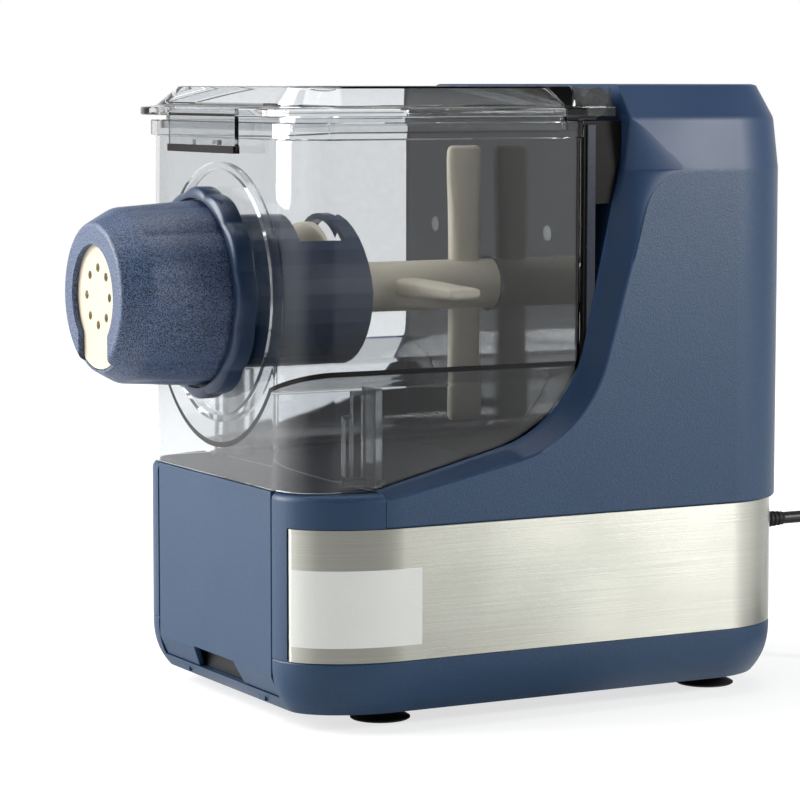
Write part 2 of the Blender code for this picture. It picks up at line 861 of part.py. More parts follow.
def drive_wall():
    """Black wall behind the chamber: a plate below that thickens to a wedge under the slanted edge."""
    front = chamber_back + gap
    back = front + drive_wall_thickness
    slope = [(x - gap, z) for x, z in inner_profile
             if inner_knee[1] < z < rim_top - gap and x > back + gap]
    profile = [(front, deck_height + gap), (back, deck_height + gap), (back, slope[0][1] - 2 * gap)]
    profile = profile + slope + [(slope[-1][0] - gap, rim_top), (front, rim_top)]
    wall_piece = prism_y("drive_wall", profile, -cheek_inner_half + gap, cheek_inner_half - gap, dark_wall())
    shaft_hole = rod_x("drive_wall_hole", bush_radius + gap, front - overrun, frame_front_x,
                       (0, axis_height), None)
    cut(wall_piece, shaft_hole)
    for number, place in enumerate(screw_places):
        seat = rod_x("screw_seat_%d" % number, screw_head_radius + gap,
                     front - overrun, front + screw_head_depth + gap, place, None, 16)
        cut(wall_piece, seat)
    return wall_piece


def drive_wall_screws():
    """Four screws sunk in the drive wall."""
    front = chamber_back + gap
    for number, place in enumerate(screw_places):
        rod_x("wall_screw_%d" % (number + 1), screw_head_radius, front, front + screw_head_depth,
              place, bright_steel(), 16)


def chamber_plan(inset, front, growth=0.0):
    """Plan of the chamber, inset or grown, with its front wall at the given depth."""
    return plan_outline(inset, chamber_back, chamber_half + growth, chamber_flat_half,
                        chamber_corner_depth, rear_corner, front - growth)


def trough_section(offset, top):
    """Half pipe round the mixing axis that flares to the side walls, closed at the top."""
    r = trough_radius + offset
    reach = chamber_half + overrun
    start = math.radians(35)
    arc = np.linspace(-math.pi / 2 - (math.pi / 2 - start), -start, 19)
    arc = [(r * math.cos(a), axis_height + r * math.sin(a)) for a in arc]
    shoulder = trough_shoulder_z - offset
    return [(reach, top), (-reach, top), (-reach, shoulder)] + arc + [(reach, shoulder)]


def mixing_chamber():
    """Clear chamber: outer walls down to the deck, a trough inside, a rim, and the outlet neck."""
    foot = deck_height + gap

    def front_at(z):
        return chamber_front_low + (chamber_front_high - chamber_front_low) * (z - foot) / (rim_top - foot)

    sections = [along_z(chamber_plan(0.0, front_at(foot)), foot),
                along_z(chamber_plan(0.0, front_at(rim_bottom)), rim_bottom),
                along_z(rim_plan(), rim_bottom + rim_slope),
                along_z(rim_plan(), rim_top)]
    chamber = loft("mixing_chamber", sections, clear())
    upper = prism_x("chamber_upper", trough_section(0.0, rim_top + overrun),
                    -overrun, chamber_back + overrun, None)
    upper_plan = loft("chamber_upper_plan",
                      [along_z(chamber_plan(chamber_wall, front_at(foot)), foot),
                       along_z(chamber_plan(chamber_wall, front_at(rim_top)), rim_top + 2 * overrun)], None)
    keep(upper, upper_plan)
    under = trough_section(chamber_wall, rim_top)
    under_reach = chamber_half + overrun
    under = [(-under_reach, foot - overrun)] + under[2:] + [(under_reach, foot - overrun)]
    lower = prism_x("chamber_lower", under, -overrun, chamber_back + overrun, None)
    lower_plan = loft("chamber_lower_plan",
                      [along_z(chamber_plan(chamber_wall, front_at(foot)), foot - 2 * overrun),
                       along_z(chamber_plan(chamber_wall, front_at(rim_top)), rim_top)], None)
    keep(lower, lower_plan)
    neck = rod_x("chamber_neck", neck_outer, chamber_front_low - neck_reach,
                 chamber_front_high + chamber_wall, (0, axis_height), None, 32)
    outlet = rod_x("chamber_outlet", neck_inner, -neck_reach - overrun, chamber_wall + 2 * overrun,
                   (0, axis_height), None, 32)
    journal = rod_x("chamber_journal", journal_radius, chamber_back - overrun, chamber_back + overrun,
                    (0, axis_height), None, 24)
    collar_inner = collar_outer - collar_width
    collar_back = chamber_front_high + collar_depth
    collar_section = [(chamber_front_high, collar_inner), (chamber_front_high, collar_outer),
                      (collar_back, collar_outer), (collar_back, collar_inner)]
    collar = turned_x("chamber_collar", collar_section, (0, axis_height), None, 32)
    cut(chamber, upper, lower)
    join(chamber, neck, collar)
    return cut(chamber, outlet, journal)


def rim_plan():
    """Plan of the rim: the chamber's plan grown outwards, but flush at the rear wall."""
    return plan_outline(0.0, chamber_back, chamber_half + rim_growth, chamber_flat_half,
                        chamber_corner_depth, rear_corner, chamber_front_high - rim_growth)


def trough_braces():
    """Clear brace between the deck and the trough, one each side."""
    foot = deck_height + gap
    top = trough_shoulder_z - brace_drop
    half = brace_width / 2
    profile = [(brace_x - half, foot), (brace_x + half, foot), (brace_x + half * 0.8, top),
               (brace_x + half * 0.2, top), (brace_x - half * 0.6, foot + (top - foot) / 2)]
    for side, word in ((-1, "near"), (1, "far")):
        prism_y("trough_brace_" + word, profile, side * brace_y - brace_thickness / 2,
                side * brace_y + brace_thickness / 2, clear())


def lobed(radius, depth, lobes, per_lobe):
    """A round outline whose radius swells in lobes and dips between them."""
    count = lobes * per_lobe
    turns = np.arange(count) / count * math.tau
    radii = radius - depth * (1 - np.abs(np.cos(turns * lobes / 2)))
    return np.column_stack([radii * np.cos(turns), axis_height + radii * np.sin(turns)])


def lock_ring():
    """Scalloped ring that locks the shaping head on the chamber's outlet."""
    pivot = (ring_front, 0, axis_height)
    rings = [along_x(lobed(ring_radius - ring_edge, ring_lobe_depth, ring_lobes, 5), ring_front),
             along_x(lobed(ring_radius, ring_lobe_depth, ring_lobes, 5), ring_front + ring_edge),
             along_x(lobed(ring_radius, ring_lobe_depth, ring_lobes, 5), ring_back - ring_edge),
             along_x(lobed(ring_radius - ring_edge, ring_lobe_depth, ring_lobes, 5), ring_back)]
    ring = loft("lock_ring", rings, navy(), pivot)
    bore = rod_x("lock_ring_bore", ring_bore, ring_front - overrun, ring_back + overrun,
                 (0, axis_height), None, 40, pivot)
    return cut(ring, bore)


def nozzle_cap():
    """Cap over the shaping disc: faceted flank, round nose, front opening and the slot below it."""
    stations = ((cap_back, cap_base_radius, 1.0), (ring_front - cap_ring_setback, cap_base_radius, 1.0),
                (cap_waist_x * 0.6, (cap_base_radius + cap_waist_radius) / 2 + cap_bulge, 0.8),
                (cap_waist_x, cap_waist_radius, 0.5),
                (cap_waist_x + (cap_face_x - cap_waist_x) * 0.45, cap_waist_radius - cap_nose_drop, 0.3),
                (cap_waist_x + (cap_face_x - cap_waist_x) * 0.80,
                 cap_face_radius + (cap_waist_radius - cap_face_radius) * 0.62, 0.1),
                (cap_waist_x + (cap_face_x - cap_waist_x) * 0.95,
                 cap_face_radius + (cap_waist_radius - cap_face_radius) * 0.30, 0.0),
                (cap_face_x, cap_face_radius - cap_face_edge, 0.0))
    rings = [along_x(lobed(r, cap_facet_depth * depth, cap_facets, 3), x) for x, r, depth in stations]
    cap = loft("nozzle_cap", rings, navy_grain())
    inner_x = cap_face_x + cap_front_wall
    bore = turned_x("cap_bore", [(cap_back + overrun, cap_bore), (cap_waist_x * 0.45, cap_bore),
                                 (cap_waist_x * 0.5, cap_nose_bore), (cap_waist_x, cap_nose_bore),
                                 (inner_x, disc_radius + gap)], (0, axis_height), None, 40, bore=False)
    opening = rod_x("cap_opening", opening_radius, cap_face_x - overrun, inner_x + overrun / 5,
                    (0, axis_height), None, 32)
    slot = block("cap_slot", (cap_face_x - overrun, -slot_half, axis_height - cap_base_radius - overrun),
                 (inner_x + gap, slot_half, axis_height - opening_radius / 2), None)
    return cut(cap, bore, opening, slot)


def shaping_disc():
    """Disc with its ring of round dies, clamped behind the cap's front wall."""
    front = cap_face_x + cap_front_wall + gap
    disc = rod_x("shaping_disc", disc_radius, front, front + disc_thickness, (0, axis_height), ivory(), 40)
    die_circle = opening_radius * die_circle_share
    for k in range(die_count):
        angle = math.tau * k / die_count
        centre = (die_circle * math.cos(angle), axis_height + die_circle * math.sin(angle))
        hole = rod_x("die_hole_%d" % k, die_radius, front - overrun, front + overrun, centre, None, 8)
        cut(disc, hole)
    return disc


def extrusion_barrel():
    """Dark tube that carries the screw: open at the disc, cut at a slant inside the chamber."""
    disc_back = cap_face_x + cap_front_wall + 2 * gap + disc_thickness
    nose_back = cap_waist_x + barrel_step
    neck_fit = neck_inner - gap
    profile = [(disc_back, barrel_tip_radius), (nose_back, barrel_nose_radius),
               (nose_back + barrel_step, neck_fit), (barrel_back_low, neck_fit)]
    barrel = turned_x("extrusion_barrel", profile, (0, axis_height), dark_wall(), 32, bore=False)
    bore = rod_x("barrel_bore", barrel_inner, cap_face_x - overrun, barrel_back_low + overrun,
                 (0, axis_height), None, 32)
    slant = prism_y("barrel_slant", [(barrel_back_low, axis_height), (barrel_back_high, body_height),
                                     (barrel_back_low + overrun, body_height),
                                     (barrel_back_low + overrun, axis_height)],
                    -body_width / 2, body_width / 2, None)
    feed = block("barrel_feed",
                 (chamber_wall + 3 * overrun, -barrel_inner * 0.8, axis_height + barrel_inner * 0.6),
                 (barrel_back_low - overrun, barrel_inner * 0.8, axis_height + 2 * barrel_inner), None)
    return cut(barrel, bore, slant, feed)


def extruder_screw():
    """One closed helix: a round core with a flight whose section turns with its place along x."""
    points_round = 16
    sections_per_turn = 10
    length = screw_pitch * screw_turns
    total = int(round(sections_per_turn * screw_turns))
    flight_half = math.radians(38)
    rings = []
    for k in range(total + 1):
        x = screw_front + length * k / total
        turn = math.tau * screw_turns * k / total
        taper = min(1.0, k / sections_per_turn * 4, (total - k) / sections_per_turn * 4)
        around = np.arange(points_round) / points_round * math.tau
        away = np.abs((around + math.pi) % math.tau - math.pi)
        lift = np.clip((flight_half * 1.9 - away) / (flight_half * 1.1), 0, 1)
        radii = screw_core_radius + (screw_radius - screw_core_radius) * lift * max(taper, 0.0)
        ring = np.column_stack([radii * np.cos(around + turn), axis_height + radii * np.sin(around + turn)])
        rings.append(along_x(ring, x))
    pivot = (screw_front, 0, axis_height)
    return loft("extruder_screw", rings, ivory(), pivot)


def mixing_paddle():
    """Hub with arms that sweep the trough, and the socket for the drive shaft."""
    pivot = (hub_back, 0, axis_height)
    hub = turned_x("mixing_paddle", [(hub_front, hub_radius * 0.85), (hub_front + hub_chamfer, hub_radius),
                                     (hub_back, hub_radius)],
                   (0, axis_height), ivory(), 28, pivot, bore=False)
    for x, degrees in arm_places:
        angle = math.radians(degrees)
        along = np.array([math.cos(angle), math.sin(angle)])
        across = np.array([-math.sin(angle), math.cos(angle)])
        rings = []
        for reach, thickness, width in ((hub_radius * 0.3, arm_thickness, arm_width * 0.8),
                                        (arm_reach * 0.55, arm_thickness * 0.9, arm_width * 0.85),
                                        (arm_reach * 0.8, arm_tip_thickness, arm_width),
                                        (arm_reach - arm_tip_round, arm_tip_thickness, arm_width),
                                        (arm_reach, arm_tip_thickness * 0.5, arm_width * 0.86)):
            ring = []
            for sx, sy in ((-1, -0.6), (-0.7, -1), (0.7, -1), (1, -0.6),
                           (1, 0.6), (0.7, 1), (-0.7, 1), (-1, 0.6)):
                centre = along * reach + across * (sy * thickness / 2)
                ring.append((x + sx * width / 2, centre[0], axis_height + centre[1]))
            rings.append(ring)
        arm = loft("paddle_arm_%d" % degrees, rings, None, pivot)
        join(hub, arm)
    socket = prism_x("paddle_socket", circle(socket_radius + gap, 6, (0, axis_height)),
                     hub_back - socket_depth, hub_back + overrun, None, pivot)
    return cut(hub, socket)


def lid_plan(inset):
    """Plan of the lid at a level, inset from its flange."""
    growth = lid_growth - inset
    return plan_outline(0.0, lid_back, chamber_half + growth, chamber_flat_half - inset * lid_corner_share,
                        chamber_corner_depth + growth / 2, rear_corner, lid_front + inset)


def lid():
    """Clear lid: flat flange, bevelled rise, raised middle, hollow below, and a bar at the hinge."""
    pivot = (hinge_x, 0, hinge_z)
    rise = lid_top - lid_flange_high
    sections = [along_z(lid_plan(0.0), lid_flange_low),
                along_z(lid_plan(0.0), lid_flange_high - lid_edge),
                along_z(lid_plan(lid_edge), lid_flange_high),
                along_z(lid_plan(lid_growth), lid_flange_high + rise * 0.08),
                along_z(lid_plan(lid_bevel_inset * 0.92), lid_top - rise * 0.12),
                along_z(lid_plan(lid_bevel_inset), lid_top)]
    body = loft("lid", sections, clear(), pivot)
    skirt_inset = lid_growth + chamber_wall + skirt_clearance
    inner = [along_z(lid_inner_plan(skirt_inset + lid_skirt_wall), lid_flange_low - overrun),
             along_z(lid_inner_plan(skirt_inset + lid_skirt_wall), lid_flange_high - skirt_top_step),
             along_z(lid_inner_plan(lid_bevel_inset + lid_wall * 0.8), lid_top - lid_wall)]
    hollow = loft("lid_hollow", inner, None, pivot)
    skirt = loft("lid_skirt", [along_z(lid_inner_plan(skirt_inset), rim_top - skirt_drop),
                               along_z(lid_inner_plan(skirt_inset), lid_flange_low + skirt_overlap)],
                 None, pivot)
    join(body, skirt)
    cut(body, hollow)
    latch_room = block("lid_latch_room", (lid_front - overrun, -latch_half - gap, lid_flange_low - overrun),
                       (latch_axis_x + latch_barrel_radius + 2 * gap, latch_half + gap, lid_top), None, pivot)
    stub_hole = rod_y("lid_stub_hole", latch_stub_radius + gap, -latch_half - latch_stub_length - gap,
                      latch_half + latch_stub_length + gap, (latch_axis_x, latch_axis_z), None, 10, pivot)
    return cut(body, latch_room, stub_hole)


def lid_inner_plan(inset):
    """Plan inside the lid, inset alike from the flange at the front and sides, and from the rear edge."""
    growth = lid_growth - inset
    return plan_outline(0.0, lid_back - inset + lid_growth, chamber_half + growth,
                        chamber_flat_half - inset * lid_corner_share, chamber_corner_depth * 0.8,
                        rear_corner, lid_front + inset)


def lid_hinge_bar():
    """Black bar on the lid's rear edge that turns on the hinge pin."""
    pivot = (hinge_x, 0, hinge_z)
    front = lid_back + gap
    arc = [(hinge_x + hinge_barrel_radius * math.cos(a), hinge_z + hinge_barrel_radius * math.sin(a))
           for a in np.linspace(-math.pi / 2, math.pi / 2, 11)]
    profile = [(front, hinge_z + hinge_barrel_radius), (front, hinge_z - hinge_barrel_radius)] + arc
    bar = prism_y("lid_hinge_bar", profile, -hinge_bar_half, hinge_bar_half, black(), pivot)
    pin_hole = rod_y("bar_pin_hole", hinge_pin_radius + gap, -hinge_bar_half - overrun,
                     hinge_bar_half + overrun, (hinge_x, hinge_z), None, 16, pivot)
    return cut(bar, pin_hole)


def hinge_blocks():
    """Black block each side of the lid's bar, hooked over the chamber's rear wall."""
    made = []
    for side, word in ((-1, "near"), (1, "far")):
        low_y = min(side * (hinge_bar_half + 2 * gap), side * hinge_block_outer)
        high_y = max(side * (hinge_bar_half + 2 * gap), side * hinge_block_outer)
        arc = [(hinge_x + hinge_barrel_radius * math.cos(a), hinge_z + hinge_barrel_radius * math.sin(a))
               for a in np.linspace(-math.pi / 4, math.pi, 15)]
        foot_front = chamber_back - chamber_wall + gap
        profile = [(hinge_x - hinge_barrel_radius, hinge_foot_top),
                   (foot_front, hinge_foot_top), (foot_front, rim_top + gap),
                   (lid_back, rim_top + gap), (lid_back, inner_brow[1] + gap),
                   (hinge_x, inner_brow[1] + gap)] + arc
        hinge_block = prism_y("hinge_block_%s" % word, profile, low_y, high_y, black())
        pin_hole = rod_y("block_pin_hole_%s" % word, hinge_pin_radius + gap, low_y - overrun,
                         high_y + overrun, (hinge_x, hinge_z), None, 16)
        made.append(cut(hinge_block, pin_hole))
    return made


def hinge_pin():
    """Steel pin through the blocks and the lid's bar."""
    return rod_y("hinge_pin", hinge_pin_radius, -hinge_block_outer, hinge_block_outer,
                 (hinge_x, hinge_z), bright_steel(), 16)


def lid_latch():
    """Clear clip at the front of the lid that hooks under the chamber's rim."""
    pivot = (latch_axis_x, 0, latch_axis_z)
    barrel = rod_y("lid_latch", latch_barrel_radius, -latch_half, latch_half,
                   (latch_axis_x, latch_axis_z), clear(), 14, pivot)
    plate = block("latch_plate", (latch_plate_front, -latch_half, latch_bottom),
                  (latch_plate_back, latch_half, latch_axis_z), None, pivot)
    bar = block("latch_bar",
                (latch_plate_front - latch_bar_front, -latch_half, latch_bottom - latch_bar_foot),
                (latch_plate_back + latch_bar_back, latch_half, latch_bottom + latch_bar_height), None, pivot)
    hook_top = rim_bottom - 2 * gap
    hook_half = latch_half * latch_hook_share
    hook = block("latch_hook", (latch_plate_back - latch_hook_root, -hook_half, hook_top - latch_hook_height),
                 (chamber_front_high - rim_growth + latch_hook_reach, hook_half, hook_top), None, pivot)
    stubs = rod_y("latch_stubs", latch_stub_radius, -latch_half - latch_stub_length,
                  latch_half + latch_stub_length, (latch_axis_x, latch_axis_z), None, 10, pivot)
    return join(barrel, plate, bar, hook, stubs)


def drawer_front():
    """Front panel of the drawer, tucked in below its crease, with a finger notch."""
    top = deck_height - gap
    profile = [(0, panel_crease), (0, top), (panel_thickness, top), (panel_thickness, panel_crease),
               (panel_thickness + panel_tuck, panel_bottom), (panel_tuck, panel_bottom)]
    panel = prism_y("drawer_front", profile, -panel_half, panel_half, navy())
    edge = panel.modifiers.new("edge", "BEVEL")
    edge.width = panel_bevel
    edge.segments = 1
    edge.limit_method = "ANGLE"
    foot_half = notch_half + notch_taper
    notch_top = panel_bottom + notch_height
    notch_outline = [(-foot_half, panel_bottom - overrun), (-foot_half, panel_bottom - gap),
                     (-notch_half, notch_top), (notch_half, notch_top),
                     (foot_half, panel_bottom - gap), (foot_half, panel_bottom - overrun)]
    notch = prism_x("drawer_notch", notch_outline, -overrun, overrun, None)
    return cut(panel, notch)


def drawer_tray():
    """Open box behind the front panel, with slots that hold the spare discs."""
    front = panel_thickness + panel_tuck + gap
    bottom = panel_bottom
    top = bottom + drawer_height
    tray = block("drawer_tray", (front, -drawer_half, bottom), (drawer_back, drawer_half, top), navy())
    hollow = block("drawer_hollow", (front + drawer_wall, -drawer_half + drawer_wall, bottom + drawer_wall),
                   (drawer_back - drawer_wall, drawer_half - drawer_wall, top + overrun), None)
    cut(tray, hollow)
    tab = block("drawer_tab", (panel_thickness + gap, -drawer_half, panel_crease + drawer_wall),
                (front + drawer_wall / 2, drawer_half, top), None)
    return join(tray, tab)


def spare_discs():
    """Three spare shaping discs that stand in the drawer."""
    made = []
    radius = disc_radius
    rest = panel_bottom + drawer_wall + gap + radius
    for number, share in enumerate(spare_disc_shares):
        x = drawer_back * share
        disc = rod_x("spare_disc_%d" % (number + 1), radius, x, x + disc_thickness, (0, rest),
                     ivory(), 32)
        if number == 0:
            opening = block("spare_flat_die", (x - overrun, -radius * 0.7, rest - radius * 0.06),
                            (x + overrun, radius * 0.7, rest + radius * 0.06), None)
            cut(disc, opening)
        else:
            for k in range(3 + number):
                angle = math.tau * k / (3 + number)
                centre = (radius * 0.55 * math.cos(angle), rest + radius * 0.55 * math.sin(angle))
                hole = rod_x("spare_die_%d_%d" % (number, k), radius * (0.16 - 0.03 * number),
                             x - overrun, x + overrun, centre, None, 8)
                cut(disc, hole)
        made.append(disc)
    return made


def feet():
    """Four suction feet, each a soft disc under a stem."""
    made = []
    for x, row in zip(foot_x, ("front", "rear")):
        for side, word in ((-1, "near"), (1, "far")):
            centre = (x, side * foot_y)
            profile = ((foot_disc_radius, 0.0), (foot_disc_radius, foot_lip),
                       (foot_stem_radius, foot_height * 0.5),
                       (foot_stem_radius, foot_height - gap))
            rings = [along_z(circle(radius, 20, centre), z) for radius, z in profile]
            made.append(loft("foot_%s_%s" % (row, word), rings, rubber()))
    return made


def tooth_outline(teeth, module, centre, tooth_angle):
    """Involute-sided teeth, thinned by the backlash, with one tooth centred at the given angle."""
    pressure = math.radians(20)
    pitch_r = teeth * module / 2
    base_r = pitch_r * math.cos(pressure)
    tip_r = pitch_r + module * 0.95
    root_r = pitch_r - module * 1.25
    thinning = tooth_backlash / (2 * pitch_r)

    def involute(angle):
        return math.tan(angle) - angle

    def half_angle(r):
        rolled = math.acos(min(1.0, base_r / max(r, base_r)))
        return math.pi / (2 * teeth) - thinning + involute(pressure) - involute(rolled)

    radii = (root_r, pitch_r, tip_r)
    points = []
    for tooth in range(teeth):
        middle = tooth_angle + math.tau * tooth / teeth
        for r in radii:
            points.append((r, middle - half_angle(r)))
        for r in reversed(radii):
            points.append((r, middle + half_angle(r)))
    return np.array([(centre[0] + r * math.cos(a), centre[1] + r * math.sin(a)) for r, a in points])


output_pitch_radius = output_teeth * output_module / 2
pinion_pitch_radius = pinion_teeth * output_module / 2
wheel_pitch_radius = wheel_teeth * wheel_module / 2
motor_pitch_radius = motor_teeth * wheel_module / 2
idler_z = axis_height - output_pitch_radius - pinion_pitch_radius
motor_z = idler_z - wheel_pitch_radius - motor_pitch_radius
output_gear_x = (frame_front_x + output_gear_setback, frame_front_x + output_gear_setback + output_gear_width)
pinion_x = (frame_front_x + pinion_setback, frame_front_x + pinion_setback + pinion_width)
wheel_x = (frame_front_x + wheel_setback, frame_front_x + wheel_setback + wheel_width)
motor_pinion_x = (frame_front_x + motor_pinion_setback,
                  frame_front_x + motor_pinion_setback + motor_pinion_width)
down = -math.pi / 2


def gear_train():
    """Output gear, idler wheel with its pinion, and the motor's pinion, in mesh down the tower."""
    output_pivot = (output_gear_x[0], 0, axis_height)
    output = prism_x("output_gear", tooth_outline(output_teeth, output_module, (0, axis_height), down),
                     output_gear_x[0], output_gear_x[1], bright_steel(), output_pivot)
    output_bore = rod_x("output_bore", shaft_radius + gap, output_gear_x[0] - overrun,
                        output_gear_x[1] + overrun, (0, axis_height), None, 20, output_pivot)
    cut(output, output_bore)
    idler_pivot = (pinion_x[0], 0, idler_z)
    facing_up = math.pi / 2 + math.pi / pinion_teeth
    pinion = prism_x("idler_pinion", tooth_outline(pinion_teeth, output_module, (0, idler_z), facing_up),
                     pinion_x[0], pinion_x[1], bright_steel(), idler_pivot)
    wheel = prism_x("idler_wheel", tooth_outline(wheel_teeth, wheel_module, (0, idler_z), down),
                    wheel_x[0], wheel_x[1], ivory(), idler_pivot)
    for piece, low, high in ((pinion, pinion_x[0], pinion_x[1]), (wheel, wheel_x[0], wheel_x[1])):
        bore = rod_x(piece.name + "_bore", axle_radius + gap, low - overrun, high + overrun,
                     (0, idler_z), None, 16, idler_pivot)
        cut(piece, bore)
    motor_pivot = (motor_pinion_x[0], 0, motor_z)
    facing_up = math.pi / 2 + math.pi / motor_teeth
    small = prism_x("motor_pinion", tooth_outline(motor_teeth, wheel_module, (0, motor_z), facing_up),
                    motor_pinion_x[0], motor_pinion_x[1], bright_steel(), motor_pivot)
    small_bore = rod_x("motor_pinion_bore", motor_shaft_radius + gap, motor_pinion_x[0] - overrun,
                       motor_pinion_x[1] + overrun, (0, motor_z), None, 16, motor_pivot)
    cut(small, small_bore)


def output_shaft():
    """Drive shaft: six-sided where it enters the paddle, round through its bush and gear."""
    pivot = (output_gear_x[0], 0, axis_height)
    shaft = rod_x("output_shaft", shaft_radius, chamber_back - overrun / 5, frame_rear_x + frame_thickness,
                  (0, axis_height), bright_steel(), 24, pivot)
    end = prism_x("shaft_end", circle(shaft_hex_radius, 6, (0, axis_height)), shaft_front,
                  chamber_back - gap, None, pivot)
    return join(shaft, end)


def shaft_bush():
    """Bush that carries the shaft in the drive wall and the housing."""
    front = chamber_back + 2 * gap
    back = chamber_back + bush_length
    return turned_x("shaft_bush", [(front, shaft_radius + running_gap), (front, bush_radius),
                                   (back, bush_radius), (back, shaft_radius + running_gap)],
                    (0, axis_height), bright_steel(), 20)


def gear_frame(name, x, post_length, holes):
    """Upright plate of the gear frame, standing on the floor of the tray."""
    floor = foot_height + wall + gap
    middle = (floor + frame_top) / 2
    outline = round_rectangle((0, middle), (frame_half, frame_top - middle), overrun / 2, 3)
    plate = prism_x(name, outline, x, x + frame_thickness, steel())
    cut_low = block(name + "_window", (x - overrun, -frame_half * 0.6, floor + overrun),
                    (x + overrun, frame_half * 0.6, motor_z - motor_radius - overrun), None)
    cut(plate, cut_low)
    if post_length > 0:
        for side, y in enumerate((-frame_half + 2 * frame_post_radius, frame_half - 2 * frame_post_radius)):
            for level, z in enumerate((motor_z - motor_radius, frame_top - 2 * frame_post_radius)):
                post = rod_x("%s_post_%d_%d" % (name, side, level), frame_post_radius,
                             x + frame_thickness / 2, x + frame_thickness + post_length, (y, z), None, 8)
                join(plate, post)
    for number, (radius, z) in enumerate(holes):
        hole = rod_x("%s_hole_%d" % (name, number), radius, x - overrun, x + overrun, (0, z), None, 20)
        cut(plate, hole)
    return plate


def gear_frames():
    between = frame_rear_x - frame_front_x - frame_thickness - gap
    gear_frame("gear_frame_front", frame_front_x, between,
               ((shaft_radius + running_gap, axis_height), (axle_radius + gap, idler_z)))
    gear_frame("gear_frame_rear", frame_rear_x, 0.0,
               ((shaft_radius + running_gap, axis_height), (axle_radius + gap, idler_z),
                (motor_shaft_radius + running_gap, motor_z)))


def idler_axle():
    return rod_x("idler_axle", axle_radius, frame_front_x, frame_rear_x + frame_thickness,
                 (0, idler_z), bright_steel(), 16)


def motor():
    """Motor can with end bell, bored for its shaft, bolted behind the rear gear frame."""
    front = frame_rear_x + frame_thickness + gap
    profile = [(front, motor_shaft_radius + running_gap), (front, motor_radius * 0.8),
               (front + motor_edge, motor_radius), (front + motor_length * 0.72, motor_radius),
               (front + motor_length * 0.75, motor_radius * 0.93),
               (front + motor_length, motor_radius * 0.88),
               (front + motor_length, motor_shaft_radius + running_gap)]
    return turned_x("motor", profile, (0, motor_z), bright_steel(), 24)


def motor_rotor():
    """Motor shaft, from the pinion through the motor to the fan."""
    pivot = (motor_pinion_x[0], 0, motor_z)
    back = frame_rear_x + frame_thickness + motor_length + fan_length + 2 * wall
    return rod_x("motor_shaft", motor_shaft_radius, motor_pinion_x[0], back, (0, motor_z),
                 bright_steel(), 16, pivot)


def cooling_fan():
    """Hub and flat blades on the rear of the motor shaft."""
    pivot = (motor_pinion_x[0], 0, motor_z)
    front = frame_rear_x + frame_thickness + motor_length + wall
    hub = turned_x("cooling_fan", [(front, motor_shaft_radius + gap), (front, fan_radius * 0.36),
                                   (front + fan_length, fan_radius * 0.36),
                                   (front + fan_length, motor_shaft_radius + gap)],
                   (0, motor_z), black(), 20, pivot)
    for k in range(fan_blades):
        angle = math.tau * k / fan_blades
        along = np.array([math.cos(angle), math.sin(angle)])
        across = np.array([-math.sin(angle), math.cos(angle)])
        rings = []
        for x, lean in ((front + fan_blade_inset, -1.0), (front + fan_length - fan_blade_inset, 1.0)):
            ring = []
            root = fan_radius * fan_root_share
            for reach, thick in ((root, 0.5), (fan_radius, 0.5), (fan_radius, -0.5), (root, -0.5)):
                aside = lean * fan_radius * fan_lean_share + thick * fan_blade_thickness
                point = along * reach + across * aside
                ring.append((x, point[0], motor_z + point[1]))
            rings.append(ring)
        blade = loft("fan_blade_%d" % k, rings, None, pivot)
        join(hub, blade)
    return hub


def control_panel():
    """Panel let into the housing's side, with a window, the knob's hole and two button holes."""
    outside = half_width - control_recess + gap + control_thickness
    inside = half_width - control_recess + gap
    centre = (panel_centre_x, (control_top + control_bottom) / 2)
    panel = prism_y("control_panel", round_rectangle(
        centre, (control_half - gap, (control_top - control_bottom) / 2 - gap), control_corner - gap),
        inside, outside, black())
    for side, x in enumerate((panel_centre_x - board_hole_x, panel_centre_x + board_hole_x)):
        for level, z in enumerate((control_bottom + standoff_share * control_ledge,
                                   control_top - standoff_share * control_ledge)):
            post = rod_y("standoff_%d_%d" % (side, level), standoff_radius,
                         board_y + board_thickness + gap, inside + control_thickness / 2, (x, z), None, 8)
            join(panel, post)
    window = prism_y("panel_window", round_rectangle((panel_centre_x, window_z),
                     (window_half[0] + gap, window_half[1] + gap), window_corner + gap, 3),
                     inside - overrun / 4, outside + overrun, None)
    knob_hole = rod_y("panel_knob_hole", knob_bore, inside - overrun, outside + overrun,
                      (panel_centre_x, knob_z), None, 20)
    cut(panel, window, knob_hole)
    for side in (-1, 1):
        hole = rod_y("panel_button_hole_%d" % side, button_radius + gap, inside - overrun, outside + overrun,
                     (panel_centre_x + side * button_spacing, button_z), None, 24)
        cut(panel, hole)
    return panel


def display_window():
    inside = half_width - control_recess + gap
    outline = round_rectangle((panel_centre_x, window_z), window_half, window_corner, 3)
    return prism_y("display_window", outline, inside, inside + control_thickness - 2 * gap, clear())


